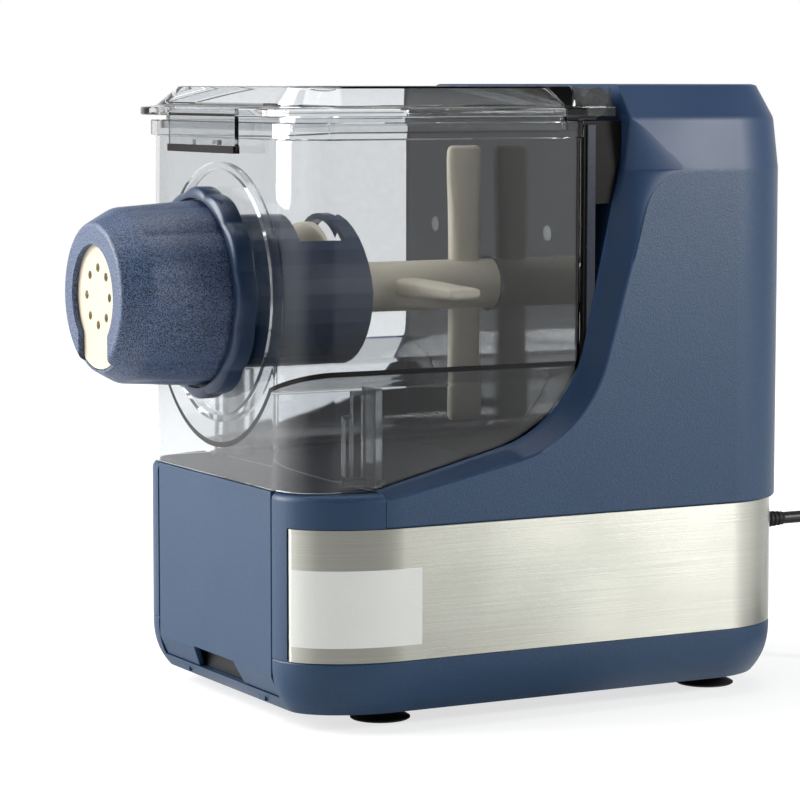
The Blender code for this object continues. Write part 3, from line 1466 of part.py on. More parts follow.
def control_board():
    """Board behind the panel, with the display, the knob's encoder and the two switches."""
    edge = control_ledge + 4 * gap
    half = (control_half - edge, (control_top - control_bottom) / 2 - edge)
    board = prism_y("control_board", round_rectangle(
        (panel_centre_x, (control_top + control_bottom) / 2), half, board_corner, 3),
        board_y, board_y + board_thickness, board_green())
    face = board_y + board_thickness
    inside = half_width - control_recess + gap
    display = block("board_display",
                    (panel_centre_x - window_half[0], face - board_sink, window_z - window_half[1]),
                    (panel_centre_x + window_half[0], inside - gap, window_z + window_half[1]), None)
    encoder = block("board_encoder",
                    (panel_centre_x - encoder_half, face - board_sink, knob_z - encoder_half),
                    (panel_centre_x + encoder_half, inside - gap, knob_z + encoder_half), None)
    join(board, display, encoder)
    for side in (-1, 1):
        x = panel_centre_x + side * button_spacing
        switch = rod_y("board_switch_%d" % side, switch_radius, face - board_sink,
                       button_back - button_travel - gap, (x, button_z), None, 14)
        join(board, switch)
    encoder_bore = rod_y("encoder_bore", knob_shaft_radius + gap, face + encoder_floor, inside + overrun,
                         (panel_centre_x, knob_z), None, 16)
    return cut(board, encoder_bore)


def buttons():
    """Power and start buttons, each with a flange behind the panel that holds it in."""
    outside = half_width - control_recess + gap + control_thickness
    inside = half_width - control_recess + gap
    made = []
    for side, name in ((-1, "start_button"), (1, "power_button")):
        x = panel_centre_x + side * button_spacing
        pivot = (x, inside, button_z)
        rings = [along_y(circle(button_flange, 16, (x, button_z)), button_back),
                 along_y(circle(button_flange, 16, (x, button_z)), inside - gap),
                 along_y(circle(button_radius, 16, (x, button_z)), inside - gap),
                 along_y(circle(button_radius, 16, (x, button_z)), outside + button_y_reach - button_edge),
                 along_y(circle(button_radius - button_edge, 16, (x, button_z)), outside + button_y_reach)]
        made.append(loft(name, rings, bright_steel(), pivot))
    return made


def selector_knob():
    """Fluted knob on its shaft, which enters the encoder on the board."""
    outside = half_width - control_recess + gap + control_thickness
    pivot = (panel_centre_x, outside, knob_z)
    count = knob_flutes * 3
    turns = np.arange(count) / count * math.tau

    def fluted(radius, depth):
        radii = radius - depth * (0.5 + 0.5 * np.cos(turns * knob_flutes))
        return np.column_stack([panel_centre_x + radii * np.cos(turns), knob_z + radii * np.sin(turns)])

    face = half_width + knob_reach
    rings = [along_y(fluted(knob_radius, knob_flute_depth), outside + 2 * gap),
             along_y(fluted(knob_radius * 0.96, knob_flute_depth), face - knob_reach * 0.12),
             along_y(fluted(knob_radius * 0.90, 0.0), face)]
    knob = loft("selector_knob", rings, steel(), pivot)
    shaft = rod_y("knob_shaft", knob_shaft_radius, board_y + board_thickness + knob_shaft_gap,
                  outside + knob_reach / 2, (panel_centre_x, knob_z), None, 16, pivot)
    return join(knob, shaft)


def lid_switch():
    """Safety switch that hangs under the top of the tower, behind the lid's hinge."""
    x_low = outer_shoulder[0] + wall + 4 * gap
    top = tower_ceiling - gap
    return block("lid_switch", (x_low, -switch_half, top - 2 * overrun),
                 (x_low + overrun, switch_half, top), black())


def power_board():
    """Board that stands on the tray's floor beside the motor."""
    floor = foot_height + wall + gap
    low_x = frame_rear_x + frame_thickness + 2 * overrun
    return block("power_board", (low_x - overrun, -frame_half - overrun, floor),
                 (low_x + 1.5 * overrun, -frame_half - overrun + board_thickness, band_top), board_green())


def strain_relief():
    """Tapered boot, with a collar outside the wall and a clip behind it."""
    wall_out = body_length - rear_step
    wall_in = wall_out - steel_band_thickness - gap - wall
    profile = [(wall_in - gap - relief_clip, relief_collar_radius), (wall_in - gap, relief_collar_radius),
               (wall_in - gap, relief_hole_radius), (wall_out + gap, relief_hole_radius),
               (wall_out + gap, relief_collar_radius),
               (wall_out + gap + relief_collar * 0.7, relief_collar_radius),
               (wall_out + gap + relief_collar, relief_root_radius),
               (wall_out + gap + relief_length, relief_tip_radius)]
    return turned_x("strain_relief", profile, (cord_y, cord_z), rubber(), 16, bore=False)


def even_steps(points, spacing):
    """Points along a path at one spacing."""
    lengths = np.concatenate([[0], np.cumsum(np.linalg.norm(np.diff(points, axis=0), axis=1))])
    count = int(round(lengths[-1] / spacing))
    even = np.linspace(0, lengths[-1], count + 1)
    return np.column_stack([np.interp(even, lengths, points[:, k]) for k in range(3)])


def tube(name, points, resolution, finish):
    """A round cord along points, as a curve with filled ends."""
    curve = bpy.data.curves.new(name, "CURVE")
    curve.dimensions = "3D"
    curve.bevel_depth = cord_radius
    curve.bevel_resolution = resolution
    curve.use_fill_caps = True
    spline = curve.splines.new("POLY")
    spline.points.add(len(points) - 1)
    for point, place in zip(spline.points, points):
        point.co = (*place, 1.0)
    piece = bpy.data.objects.new(name, curve)
    bpy.context.scene.collection.objects.link(piece)
    piece.parent = machine_frame
    curve.materials.append(finish)
    return piece


def coil_path():
    """Spirals in on the surface, climbs a layer in the half turn where it reverses, spirals out on top."""
    count = int(round((coil_turns_in + coil_turns_out) * coil_points_per_loop))
    points = []
    for k in range(count + 1):
        turn = k / coil_points_per_loop - coil_turns_in
        lift = 0.5 + 0.5 * math.sin(math.pi * min(max(2 * turn, -0.5), 0.5))
        radius = coil_inner_radius + coil_pitch * abs(turn)
        angle = math.pi / 2 - math.tau * k / coil_points_per_loop
        points.append((coil_centre[0] + radius * math.cos(angle), coil_centre[1] + radius * math.sin(angle),
                       cord_radius + coil_step * lift))
    first = points[0]
    last = points[-1]
    lead_in = (first[0] - 2 * cord_radius, first[1], first[2])
    lead_out = [(last[0] - coil_lead_out * share, last[1], last[2]) for share in (0.3, 0.65, 1.0)]
    return np.array([lead_in] + points + lead_out)


def cord():
    """The lead from the boot down to the surface, the coil, and the plug at the coil's end."""
    start_x = body_length - rear_step + gap + relief_length + gap
    coil = coil_path()
    end_x = coil[0][0] - gap
    side_view = rounded_path([(start_x, cord_z), (start_x + lead_straight, cord_z),
                              (start_x + lead_straight + lead_fall, cord_radius), (end_x, cord_radius)],
                             [lead_bend, lead_bend], 16)
    lead = np.column_stack([side_view[:, 0], np.full(len(side_view), cord_y), side_view[:, 1]])
    tube("cord_lead", even_steps(lead, lead_spacing), 2, rubber())
    tube("cord_coil", coil, 1, rubber())
    near = np.inf
    apart = coil_points_per_loop // 2
    for i in range(len(coil)):
        others = coil[i + apart:]
        if len(others):
            near = min(near, float(np.min(np.linalg.norm(others - coil[i], axis=1))))
    print("least gap of the coil to itself, mm:", round((near - 2 * cord_radius) * 1000, 2))
    end = coil[-1]
    heading = coil[-1] - coil[-2]
    heading = heading / np.linalg.norm(heading)
    return end, heading


def plug(end, heading):
    """Moulded plug with a tapered neck, lying where the coil ends, with two flat blades and a round one."""
    side = np.array([-heading[1], heading[0], 0.0])
    up = np.array([0.0, 0.0, 1.0])
    middle = end[2]
    stations = ((gap, relief_tip_radius, relief_tip_radius), (plug_neck, *plug_neck_half),
                (plug_neck + plug_shoulder, plug_half_width * 0.80, middle * 0.80),
                (plug_neck + plug_swell, plug_half_width, middle - gap),
                (plug_length - plug_end_round, plug_half_width, middle - gap),
                (plug_length, plug_half_width * 0.92, middle * 0.88))
    rings = []
    for reach, wide, tall in stations:
        shape = round_rectangle((0, 0), (wide, tall), min(wide, tall) * 0.55, 4)
        rings.append([end + heading * reach + side * a + up * b for a, b in shape])
    body = loft("plug_body", rings, rubber())
    for offset, word in ((-blade_spacing, "near"), (blade_spacing, "far")):
        rings = []
        for reach in (plug_length + gap, plug_length + blade_length):
            rings.append([end + heading * reach + side * (offset + a * blade_half[1]) + up * b * blade_half[0]
                          for a, b in ((-1, -1), (1, -1), (1, 1), (-1, 1))])
        loft("plug_blade_" + word, rings, bright_steel())
    return body


base_tray()
steel_band()
front_frame()
main_housing()
drive_wall()
drive_wall_screws()
mixing_chamber()
trough_braces()
lock_ring()
nozzle_cap()
shaping_disc()
extrusion_barrel()
extruder_screw()
mixing_paddle()
lid()
lid_hinge_bar()
hinge_blocks()
hinge_pin()
lid_latch()
drawer_front()
drawer_tray()
spare_discs()
feet()
gear_train()
output_shaft()
shaft_bush()
gear_frames()
idler_axle()
motor()
motor_rotor()
cooling_fan()
control_panel()
display_window()
control_board()
buttons()
selector_knob()
lid_switch()
power_board()
strain_relief()
cord_end, cord_heading = cord()
plug(cord_end, cord_heading)
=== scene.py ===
# %% [markdown]
# # Looks of an electric pasta maker
# The solids come packed from the CAD work, in metres, each in its place. This lesson dresses them:
# it sets the camera and light, makes the finishes, and works out the finer surfaces with numpy.

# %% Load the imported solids
import bpy
import bmesh
import math
import numpy as np
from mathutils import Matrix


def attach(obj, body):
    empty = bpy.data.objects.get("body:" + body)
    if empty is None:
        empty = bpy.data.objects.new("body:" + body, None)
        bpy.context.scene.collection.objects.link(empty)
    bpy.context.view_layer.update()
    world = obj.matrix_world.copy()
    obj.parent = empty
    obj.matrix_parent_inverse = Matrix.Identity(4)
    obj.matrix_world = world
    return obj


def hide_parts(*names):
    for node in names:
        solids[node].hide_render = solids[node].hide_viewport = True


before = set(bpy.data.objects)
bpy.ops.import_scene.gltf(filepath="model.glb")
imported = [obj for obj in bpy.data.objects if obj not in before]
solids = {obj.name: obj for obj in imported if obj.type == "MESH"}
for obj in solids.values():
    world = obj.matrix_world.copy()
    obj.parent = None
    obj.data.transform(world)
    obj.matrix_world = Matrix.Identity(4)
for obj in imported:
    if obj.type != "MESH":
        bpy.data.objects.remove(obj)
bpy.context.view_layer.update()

# %% [markdown]
# The machine is described from its own front face: x runs back to the motor tower, y across, z up.
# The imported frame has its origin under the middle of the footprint, so every point is shifted once.
# A few sizes turn up all over the machine: the body's back, half width and rear corners, the mixing
# axis, and the thickness of a moulded wall.

# %% Machine frame and camera
to_row = np.array([-0.10625, -0.0065, 0.0])
body_back, body_half, rear_round = 0.2725, 0.098, 0.045
axis_z = 0.1954
mix_axis = (0.0, axis_z)
wall = 0.0025
image_width = 800
focal_pixels = 3128


def new_object(name, data):
    """An object linked into the scene."""
    made = bpy.data.objects.new(name, data)
    bpy.context.scene.collection.objects.link(made)
    return made


camera_data = bpy.data.cameras.new("camera")
camera_data.sensor_width = 36.0
camera_data.lens = focal_pixels / image_width * camera_data.sensor_width
camera = new_object("camera", camera_data)
camera.location = np.array([-0.6120, -1.3237, 0.2931]) + to_row
camera.rotation_euler = (math.radians(90 - 5.81), 0.0, math.radians(-28.27))
camera_data.clip_start = 0.05
camera_data.clip_end = 50
bpy.context.scene.camera = camera
print("lens in mm:", round(camera_data.lens, 1))

# %% [markdown]
# Every new surface is a grid of points: rows run one way, columns the other. One helper turns such a
# grid into a mesh, closes it round or along if asked, and fills its ends, so all pieces share it.

# %% Grid to mesh


def grid_mesh(name, grid, around=True, along=False, caps=True):
    """Quads between neighbouring points of a rows x columns grid; 'around' joins the last column to the
    first, 'along' joins the last row to the first, 'caps' fills the first and last row."""
    grid = np.asarray(grid, dtype=float)
    rows, columns = grid.shape[:2]
    index = np.arange(rows * columns).reshape(rows, columns)
    if around:
        index = np.concatenate([index, index[:, :1]], axis=1)
    if along:
        index = np.concatenate([index, index[:1]], axis=0)
    quads = np.stack([index[:-1, :-1], index[:-1, 1:], index[1:, 1:], index[1:, :-1]], axis=-1).reshape(-1, 4)
    faces = quads.tolist()
    if caps and not along:
        faces.append(list(range(columns)))
        faces.append(list(range((rows - 1) * columns, rows * columns)))
    mesh = bpy.data.meshes.new(name)
    mesh.from_pydata((grid.reshape(-1, 3) + to_row).tolist(), [], faces)
    work = bmesh.new()
    work.from_mesh(mesh)
    bmesh.ops.remove_doubles(work, verts=work.verts, dist=1e-6)
    bmesh.ops.recalc_face_normals(work, faces=work.faces)
    work.to_mesh(mesh)
    work.free()
    return new_object(name, mesh)


def modifier(piece, kind, **settings):
    """A new modifier with its settings made."""
    step = piece.modifiers.new(kind.lower(), kind)
    for word, value in settings.items():
        setattr(step, word, value)


def settle(piece):
    """The mesh becomes what the modifiers made of it."""
    graph = bpy.context.evaluated_depsgraph_get()
    graph.update()
    mesh = bpy.data.meshes.new_from_object(piece.evaluated_get(graph))
    piece.modifiers.clear()
    piece.data = mesh


def finished(piece, angle=32):
    """Shades smooth, but for edges sharper than the angle, and weights the normals so large faces stay flat."""
    settle(piece)
    piece.data.shade_smooth()
    piece.data.set_sharp_from_angle(angle=math.radians(angle))
    modifier(piece, "WEIGHTED_NORMAL", keep_sharp=True)
    settle(piece)
    return piece


def carve(piece, tool, operation="DIFFERENCE"):
    """Cuts, joins or keeps with another closed mesh, then throws the tool away."""
    modifier(piece, "BOOLEAN", operation=operation, object=tool, solver="EXACT", material_mode="TRANSFER")
    settle(piece)
    bpy.data.objects.remove(tool, do_unlink=True)


def soften(piece, width, segments=2, angle=40):
    """Rounds the edges sharper than the angle."""
    modifier(piece, "BEVEL", width=width, segments=segments, limit_method="ANGLE", angle_limit=math.radians(angle),
             harden_normals=False)
    return piece


# %% [markdown]
# Most of the machine is drawn with three kinds of line: circles, paths whose corners are rounded, and
# the plan of the body. Each is a plain array, so a piece is often just a stack of such lines.

# %% Lines


def full_turn(count):
    """Equal angles once round."""
    return np.arange(count) / count * math.tau


def polar(radius, angle, centre):
    """Centre plus radius times (cos, sin) of the angle; the radius may be one number or one at each angle."""
    return np.stack([centre[0] + radius * np.cos(angle), centre[1] + radius * np.sin(angle)], axis=-1)


def ring_points(radius, count, centre):
    """Points at equal angles on a circle."""
    return polar(radius, full_turn(count), centre)


def superellipse(count, power):
    """Cos and sin to a power below 1 with their signs kept: a circle pressed towards a square."""
    c, s = np.cos(full_turn(count)), np.sin(full_turn(count))
    return np.sign(c) * np.abs(c) ** power, np.sign(s) * np.abs(s) ** power


def eased(share):
    """Three times the square minus twice the cube: from 0 to 1, level at both ends."""
    return share * share * (3 - 2 * share)


def rounded_path(corners, radii, steps):
    """Each inner corner is replaced by an arc tangent to both of its sides."""
    corners = [np.asarray(c, dtype=float) for c in corners]
    path = [corners[0]]
    for i in range(1, len(corners) - 1):
        before = corners[i - 1] - corners[i]
        after = corners[i + 1] - corners[i]
        sides = np.linalg.norm(before), np.linalg.norm(after)
        before, after = before / sides[0], after / sides[1]
        half = math.acos(np.clip(before @ after, -1, 1)) / 2
        reach = min(radii[i - 1] / math.tan(half), 0.49 * sides[0], 0.49 * sides[1])
        radius = reach * math.tan(half)
        bisector = (before + after) / np.linalg.norm(before + after)
        centre = corners[i] + bisector * radius / math.sin(half)
        start = corners[i] + before * reach - centre
        sign = np.sign(start[0] * after[1] - start[1] * after[0])
        angle = sign * (math.pi - 2 * half) * np.arange(steps + 1) / steps
        arc = np.stack([centre[0] + start[0] * np.cos(angle) - start[1] * np.sin(angle),
                        centre[1] + start[0] * np.sin(angle) + start[1] * np.cos(angle)], axis=-1)
        path.extend(arc)
    path.append(corners[-1])
    return np.array(path)


def inset_outline(outline, distance):
    """Moves every side of a closed outline inwards by the distance, mitred at its corners."""
    outline = np.asarray(outline, dtype=float)
    ahead = np.roll(outline, -1, axis=0) - outline
    ahead = ahead / np.linalg.norm(ahead, axis=1)[:, None]
    after = np.stack([-ahead[:, 1], ahead[:, 0]], axis=-1)
    before = np.roll(after, 1, axis=0)
    turn = 1 + np.sum(before * after, axis=1)
    return outline + (before + after) / turn[:, None] * distance


def plan(inset=0.0, back=body_back, half=body_half, flat=0.065, depth=0.050, rear=rear_round, front=0.0, fine=24):
    """Body plan: flat front, a quarter ellipse at each front corner, a quarter circle at each rear one."""
    t = np.linspace(0, math.pi / 2, fine)
    corner = np.stack([front + depth * (1 - np.cos(t)), -flat - (half - flat) * np.sin(t)], axis=-1)
    tail = np.stack([back - rear + rear * np.sin(t), -half + rear - rear * np.cos(t)], axis=-1)
    near = np.concatenate([corner, tail])
    return inset_outline(np.concatenate([near, near[::-1] * (1, -1)]), inset)


def at_z(outline, z):
    """A line of (x, y) at one height."""
    return np.column_stack([outline, np.full(len(outline), z)])


def at_y(profile, y):
    """A line of (x, z) at one y."""
    return np.column_stack([profile[:, 0], np.full(len(profile), y), profile[:, 1]])


def at_x(section, x):
    """A line of (y, z) at one x."""
    return np.column_stack([np.full(len(section), x), section])


def prism(name, place, outline, low, high, **ends):
    """One outline carried straight from low to high; place is at_x, at_y or at_z."""
    outline = np.asarray(outline, dtype=float)
    return grid_mesh(name, [place(outline, low), place(outline, high)], **ends)


def box_mesh(name, low, high):
    """A box between two corners, used only as a cutter or as the start of a softened piece."""
    corners = [(low[0], low[1]), (high[0], low[1]), (high[0], high[1]), (low[0], high[1])]
    return prism(name, at_z, corners, low[2], high[2])


def rod(name, axis, radius, low, high, centre, count=64):
    """A round rod along x or y."""
    return prism(name, at_x if axis == "x" else at_y, ring_points(radius, count, centre), low, high)


def lathe_x(name, profile, centre, count=96):
    """Turns a closed (x, radius) line round an axis along x: y and z are radius times cos and sin."""
    profile = np.asarray(profile, dtype=float)
    turn = full_turn(count)[:, None]
    grid = np.stack([np.broadcast_to(profile[:, 0], (count, len(profile))),
                     centre[0] + np.cos(turn) * profile[:, 1], centre[1] + np.sin(turn) * profile[:, 1]], axis=-1)
    return grid_mesh(name, grid, around=True, along=True)


# %% [markdown]
# Moulded plastic looks grainy because its mould was etched; sheet steel was drawn through a belt of
# abrasive. Grain, brush lines and handling marks are used by several finishes, so each is a group.

# %% Shader groups


def new_group(name, inputs, outputs):
    """A node group with named float inputs and outputs."""
    group = bpy.data.node_groups.new(name, "ShaderNodeTree")
    for label, value in inputs:
        socket = group.interface.new_socket(label, in_out="INPUT", socket_type="NodeSocketFloat")
        socket.default_value = value
    for label in outputs:
        group.interface.new_socket(label, in_out="OUTPUT", socket_type="NodeSocketFloat")
    return group, group.nodes.new("NodeGroupInput"), group.nodes.new("NodeGroupOutput")


def node(tree, kind, inputs=(), **settings):
    """A node with its settings made; an input gets a plain value, or a link if it is given an output."""
    made = tree.nodes.new("ShaderNode" + kind)
    for word, value in settings.items():
        setattr(made, word, value)
    for socket, value in dict(inputs).items():
        if isinstance(value, bpy.types.NodeSocket):
            tree.links.new(value, made.inputs[socket])
        else:
            made.inputs[socket].default_value = value
    return made


def object_noise(group, scale, detail, roughness, stretch=None):
    """Noise over Object coordinates, stretched where that is asked."""
    place = node(group, "TexCoord").outputs["Object"]
    if stretch:
        place = node(group, "Mapping", {"Vector": place, "Scale": stretch}).outputs["Vector"]
    made = node(group, "TexNoise", {"Vector": place, "Scale": scale, "Detail": detail, "Roughness": roughness})
    return made.outputs["Fac"]


def grain_group():
    """Etched mould grain: fine noise as height, and the same pushed towards its peaks as a speckle mask."""
    group, given, made = new_group("etched_grain", [("Size", 1500.0), ("Contrast", 3.0)], ["Height", "Speckle"])
    noise = object_noise(group, given.outputs["Size"], 2.0, 0.65)
    lift = node(group, "Math", {0: noise, 1: 0.5}, operation="SUBTRACT")
    steep = node(group, "Math", {0: lift.outputs[0], 1: given.outputs["Contrast"], 2: 0.5},
                 operation="MULTIPLY_ADD", use_clamp=True)
    group.links.new(noise, made.inputs["Height"])
    group.links.new(steep.outputs[0], made.inputs["Speckle"])
    return group


def brushed_group():
    """Brush lines: noise squeezed hard along z and stretched along the sheet, so it varies with height."""
    group, given, made = new_group("brush_lines", [("Fineness", 2600.0)], ["Height", "Streak"])
    noise = object_noise(group, given.outputs["Fineness"], 3.0, 0.7, (0.006, 0.006, 1.0))
    group.links.new(noise, made.inputs["Height"])
    group.links.new(noise, made.inputs["Streak"])
    return group


def handling_group():
    """Handling marks: slow noise that makes some places a little glossier than others."""
    group, given, made = new_group("handling_marks", [("Size", 18.0)], ["Mark"])
    noise = object_noise(group, given.outputs["Size"], 1.0, 0.5)
    group.links.new(noise, made.inputs["Mark"])
    return group


etched_grain = grain_group()
brush_lines = brushed_group()
handling_marks = handling_group()
print("shader groups:", [g.name for g in bpy.data.node_groups if g.type == "SHADER"])

# %% [markdown]
# A finish is one Principled shader fed by those groups. Its plain numbers stay on the shader's own
# sockets; only what changes over the surface is linked: colour, roughness and the small bumps.

# %% Finishes


def srgb(code):
    """Hex colour as seen on a screen, turned into the linear values that the shader works in."""
    values = np.array([int(code[i:i + 2], 16) for i in (0, 2, 4)]) / 255
    linear = np.where(values <= 0.04045, values / 12.92, ((values + 0.055) / 1.055) ** 2.4)
    return (*linear.tolist(), 1.0)


def finish(name, light, dark, roughness, spread=0.06, grain=1500, bump=0.0, contrast=3.0,
           metallic=0.0, brushed=False, specular=0.5, coat=0.0, transmission=0.0, ior=1.46):
    """Colour runs from dark to light with the grain, roughness with the handling marks, bumps with the grain."""
    made = bpy.data.materials.new(name)
    made.use_nodes = True
    tree = made.node_tree
    shader = tree.nodes["Principled BSDF"]
    plain = {"Metallic": metallic, "Specular IOR Level": specular, "Coat Weight": coat, "Coat Roughness": 0.12,
             "Transmission Weight": transmission, "IOR": ior}
    for socket, value in plain.items():
        shader.inputs[socket].default_value = value
    marks = node(tree, "Group", node_tree=handling_marks).outputs["Mark"]
    rough = node(tree, "MapRange", {"Value": marks, "From Min": 0.3, "From Max": 0.7,
                                    "To Min": max(roughness - spread, 0.0), "To Max": roughness + spread})
    tree.links.new(rough.outputs["Result"], shader.inputs["Roughness"])
    if brushed:
        texture = node(tree, "Group", node_tree=brush_lines)
    else:
        texture = node(tree, "Group", {"Size": grain, "Contrast": contrast}, node_tree=etched_grain)
    height, mask = texture.outputs
    tint = node(tree, "Mix", {"Factor": mask, "A": srgb(dark), "B": srgb(light)}, data_type="RGBA")
    tree.links.new(tint.outputs["Result"], shader.inputs["Base Color"])
    if bump > 0:
        relief = node(tree, "Bump", {"Strength": bump, "Distance": 0.0002, "Height": height})
        tree.links.new(relief.outputs["Normal"], shader.inputs["Normal"])
    return made


navy_body = finish("navy_body", "21405F", "1A3450", 0.40, 0.04, 1700, 0.60)
navy_satin = finish("navy_satin", "213753", "1C304A", 0.30, 0.05, 2200, 0.06, specular=0.45)
navy_smooth = finish("navy_smooth", "233E60", "1F3756", 0.45, 0.05, 1700, 0.06)
# The next finish is a darker, matt copy of the navy: painted shade for faces deep in recesses, the chamber's seat and
# the bay's walls.
navy_matt_painted_shade = finish("navy_matt_painted_shade", "1A2336", "141C2C", 0.75, 0.05, 2200, 0.20, specular=0.15)
navy_speckle = finish("navy_speckle", "5D7093", "0B1526", 0.38, 0.05, 2050, 1.0, contrast=8.0)
steel_sheet = finish("steel_sheet", "C6C7BE", "A9A89E", 0.30, 0.03, metallic=1.0, brushed=True, bump=0.30)
steel_turned = finish("steel_turned", "CFCFCD", "A9A9A8", 0.26, 0.05, 3000, 0.1, metallic=1.0)
clear_smoke = finish("clear_smoke", "EDEFF0", "E9EBED", 0.03, 0.015, 300, 0.0, transmission=1.0, ior=1.45)
dark_smoke = finish("dark_smoke", "8C8F92", "85888B", 0.06, 0.02, 300, 0.0, transmission=0.9, ior=1.45)
dark_gloss = finish("dark_gloss", "1E1B1A", "191716", 0.34, 0.06, 900, 0.05, specular=0.10)
grey_trim = finish("grey_trim", "2E333D", "282D36", 0.25, 0.05, 900, 0.05, specular=0.3)
black_plastic = finish("black_plastic", "17181B", "101114", 0.42, 0.06, 2200, 0.2, specular=0.35)
black_rubber = finish("black_rubber", "201F1F", "131313", 0.62, 0.08, 1800, 0.4, specular=0.4)
cord_skin = finish("cord_skin", "2A2826", "161514", 0.45, 0.10, 700, 0.3)
ivory = finish("ivory", "E8DFCC", "E0D5BF", 0.38, 0.06, 1600, 0.08)
disc_cream = finish("disc_cream", "CFC5B1", "C7BCA6", 0.40, 0.06, 1600, 0.08, specular=0.4)
label_paper = finish("label_paper", "DCDDD8", "D6D7D2", 0.35, 0.04, 2400, 0.03)
board_mask = finish("board_mask", "1F6B45", "185638", 0.35, 0.05, 600, 0.15)
display_glass = finish("display_glass", "16181C", "101215", 0.08, 0.02, 300, 0.0, coat=0.5)
steel_shader = steel_sheet.node_tree.nodes["Principled BSDF"]
steel_shader.inputs["Anisotropic"].default_value = 0.75
steel_shader.inputs["Anisotropic Rotation"].default_value = 0.25
print("finishes:", len(bpy.data.materials))


def dress(piece, finish_material, body, slot, *replaced):
    """Gives a new piece its finish and its body, and hides the solids it stands for; the slot is not used."""
    if len(piece.data.materials) <= 1:
        piece.data.materials.clear()
        piece.data.materials.append(finish_material)
    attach(piece, body)
    if replaced:
        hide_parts(*replaced)
    print(piece.name, "faces:", len(piece.data.polygons))


# %% [markdown]
# The mains lead leaves the back wall low down, runs straight out of its boot, drops to the surface
# and ends in a flat round coil, wound in two layers as for storage. The route is one line of points.

# %% Mains lead
lead_radius = 0.0030
lead_y, lead_z = -0.0480, 0.0760
boot_start = 0.2703
boot_tip = boot_start + 0.0205
turns_in, turns_out = 2.5, 2.0
inner_radius, loop_pitch, layer_step = 0.0256, 0.0067, 0.0066
coil_middle = np.array([0.3690, lead_y - inner_radius - turns_in * loop_pitch])


def coil_line():
    """Radius grows with the distance from the reversal, angle falls steadily, height rises half a turn wide."""
    steps = 32
    turn = np.arange(int((turns_in + turns_out) * steps) + 1) / steps - turns_in
    radius = inner_radius + loop_pitch * np.abs(turn)
    angle = math.pi / 2 - math.tau * (turn + turns_in)
    lift = 0.5 + 0.5 * np.sin(math.pi * np.clip(2 * turn, -0.5, 0.5))
    return np.column_stack([polar(radius, angle, coil_middle), lead_radius + layer_step * lift])


coil = coil_line()
straight_run, foot_run, bend = 0.0293, 0.0421, 0.027
fall = rounded_path([(boot_tip, lead_z), (boot_tip + straight_run, lead_z), (boot_tip + foot_run, lead_radius),
                     (coil[0, 0] - 0.004, lead_radius)], [bend, bend], 14)
fall = np.column_stack([fall[:, 0], np.full(len(fall), lead_y), fall[:, 1]])
tail = coil[-1] - np.outer([0.010, 0.022, 0.0337], [1, 0, 0])
route = np.concatenate([[(0.262, lead_y, lead_z)], fall, coil, tail])
route_row = route + to_row

curve = bpy.data.curves.new("mains_lead", "CURVE")
curve.dimensions = "3D"
curve.bevel_depth = lead_radius
curve.bevel_resolution = 5
curve.use_fill_caps = True
spline = curve.splines.new("POLY")
spline.points.add(len(route_row) - 1)
spline.points.foreach_set("co", np.column_stack([route_row, np.ones(len(route_row))]).ravel())
lead = new_object("mains_lead", curve)
curve.materials.append(cord_skin)
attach(lead, "machine")
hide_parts("cord_lead", "cord_coil")

# %% [markdown]
# The boot is a soft tapered sleeve whose ribs let it bend; it is turned on a lathe from one line.

# %% Boot and plug body


def boot_profile():
    """Outer line with a collar, then ribs that shrink with the taper; the inner line is the bore's."""
    collar = [(boot_start - 0.0064, 0.0062), (boot_start - 0.0044, 0.0062), (boot_start - 0.0042, 0.0054),
              (boot_start, 0.0054), (boot_start + 0.0001, 0.0062), (boot_start + 0.0018, 0.0064),
              (boot_start + 0.0026, 0.0058)]
    ribs = []
    for k in range(6):
        x = boot_start + 0.0040 + 0.0026 * k
        r = 0.0046 - 0.0002 * k
        ribs += [(x, r - 0.0006), (x + 0.0005, r), (x + 0.0013, r), (x + 0.0018, r - 0.0006)]
    end = [(boot_tip - 0.0003, 0.0034), (boot_tip, 0.00325), (boot_tip, 0.00305), (boot_start - 0.0064, 0.00305)]
    return collar + ribs + end


boot = finished(lathe_x("cord_boot", boot_profile(), (lead_y, lead_z), 48))
dress(boot, black_rubber, "machine", "rubber", "strain_relief")


def plug_sections():
    """Superellipse sections: width and height ease from the neck to the moulded body."""
    start = coil[-1, 0] - 0.0340
    height = coil[-1, 2]
    reach = np.array([0.0003, 0.004, 0.0085, 0.0115, 0.0135, 0.0165, 0.020, 0.026, 0.032, 0.0345, 0.0357, 0.036])
    wide = np.array([0.0034, 0.0040, 0.0047, 0.0056, 0.0088, 0.0118, 0.0128, 0.0130, 0.0130, 0.0127, 0.0120, 0.0108])
    tall = np.array([0.0034, 0.0040, 0.0046, 0.0052, 0.0070, 0.0086, 0.0092, 0.0093, 0.0093, 0.0090, 0.0084, 0.0074])
    side, rise = superellipse(48, 0.62)
    return np.stack([np.broadcast_to((start - reach)[:, None], (len(reach), 48)),
                     coil[-1, 1] + wide[:, None] * side, height + tall[:, None] * rise], axis=-1)


plug_cover = finished(grid_mesh("plug_cover", plug_sections()), 50)
dress(plug_cover, black_rubber, "machine", "rubber", "plug_body")

# %% [markdown]
# The base tray curves in towards the feet and ends above in a fine bright edge. Its side is a stack of
# plans whose inset follows a power curve, and the same tray is hollow and open at the front.

# %% Base tray


def stack(name, levels, **shape):
    """Body plans at a list of (inset, z) levels, one above the other."""
    return grid_mesh(name, [at_z(plan(inset, **shape), z) for inset, z in levels])


band_back = 0.2700
tray_low, tray_high, band_low, band_high, deck = 0.0080, 0.0327, 0.0330, 0.0933, 0.1093
door_half, notch_floor = 0.0632, 0.0143


def boot_hole():
    """The hole in the back for the boot."""
    return rod("boot_hole", "x", 0.0059, 0.24, 0.29, (lead_y, lead_z))


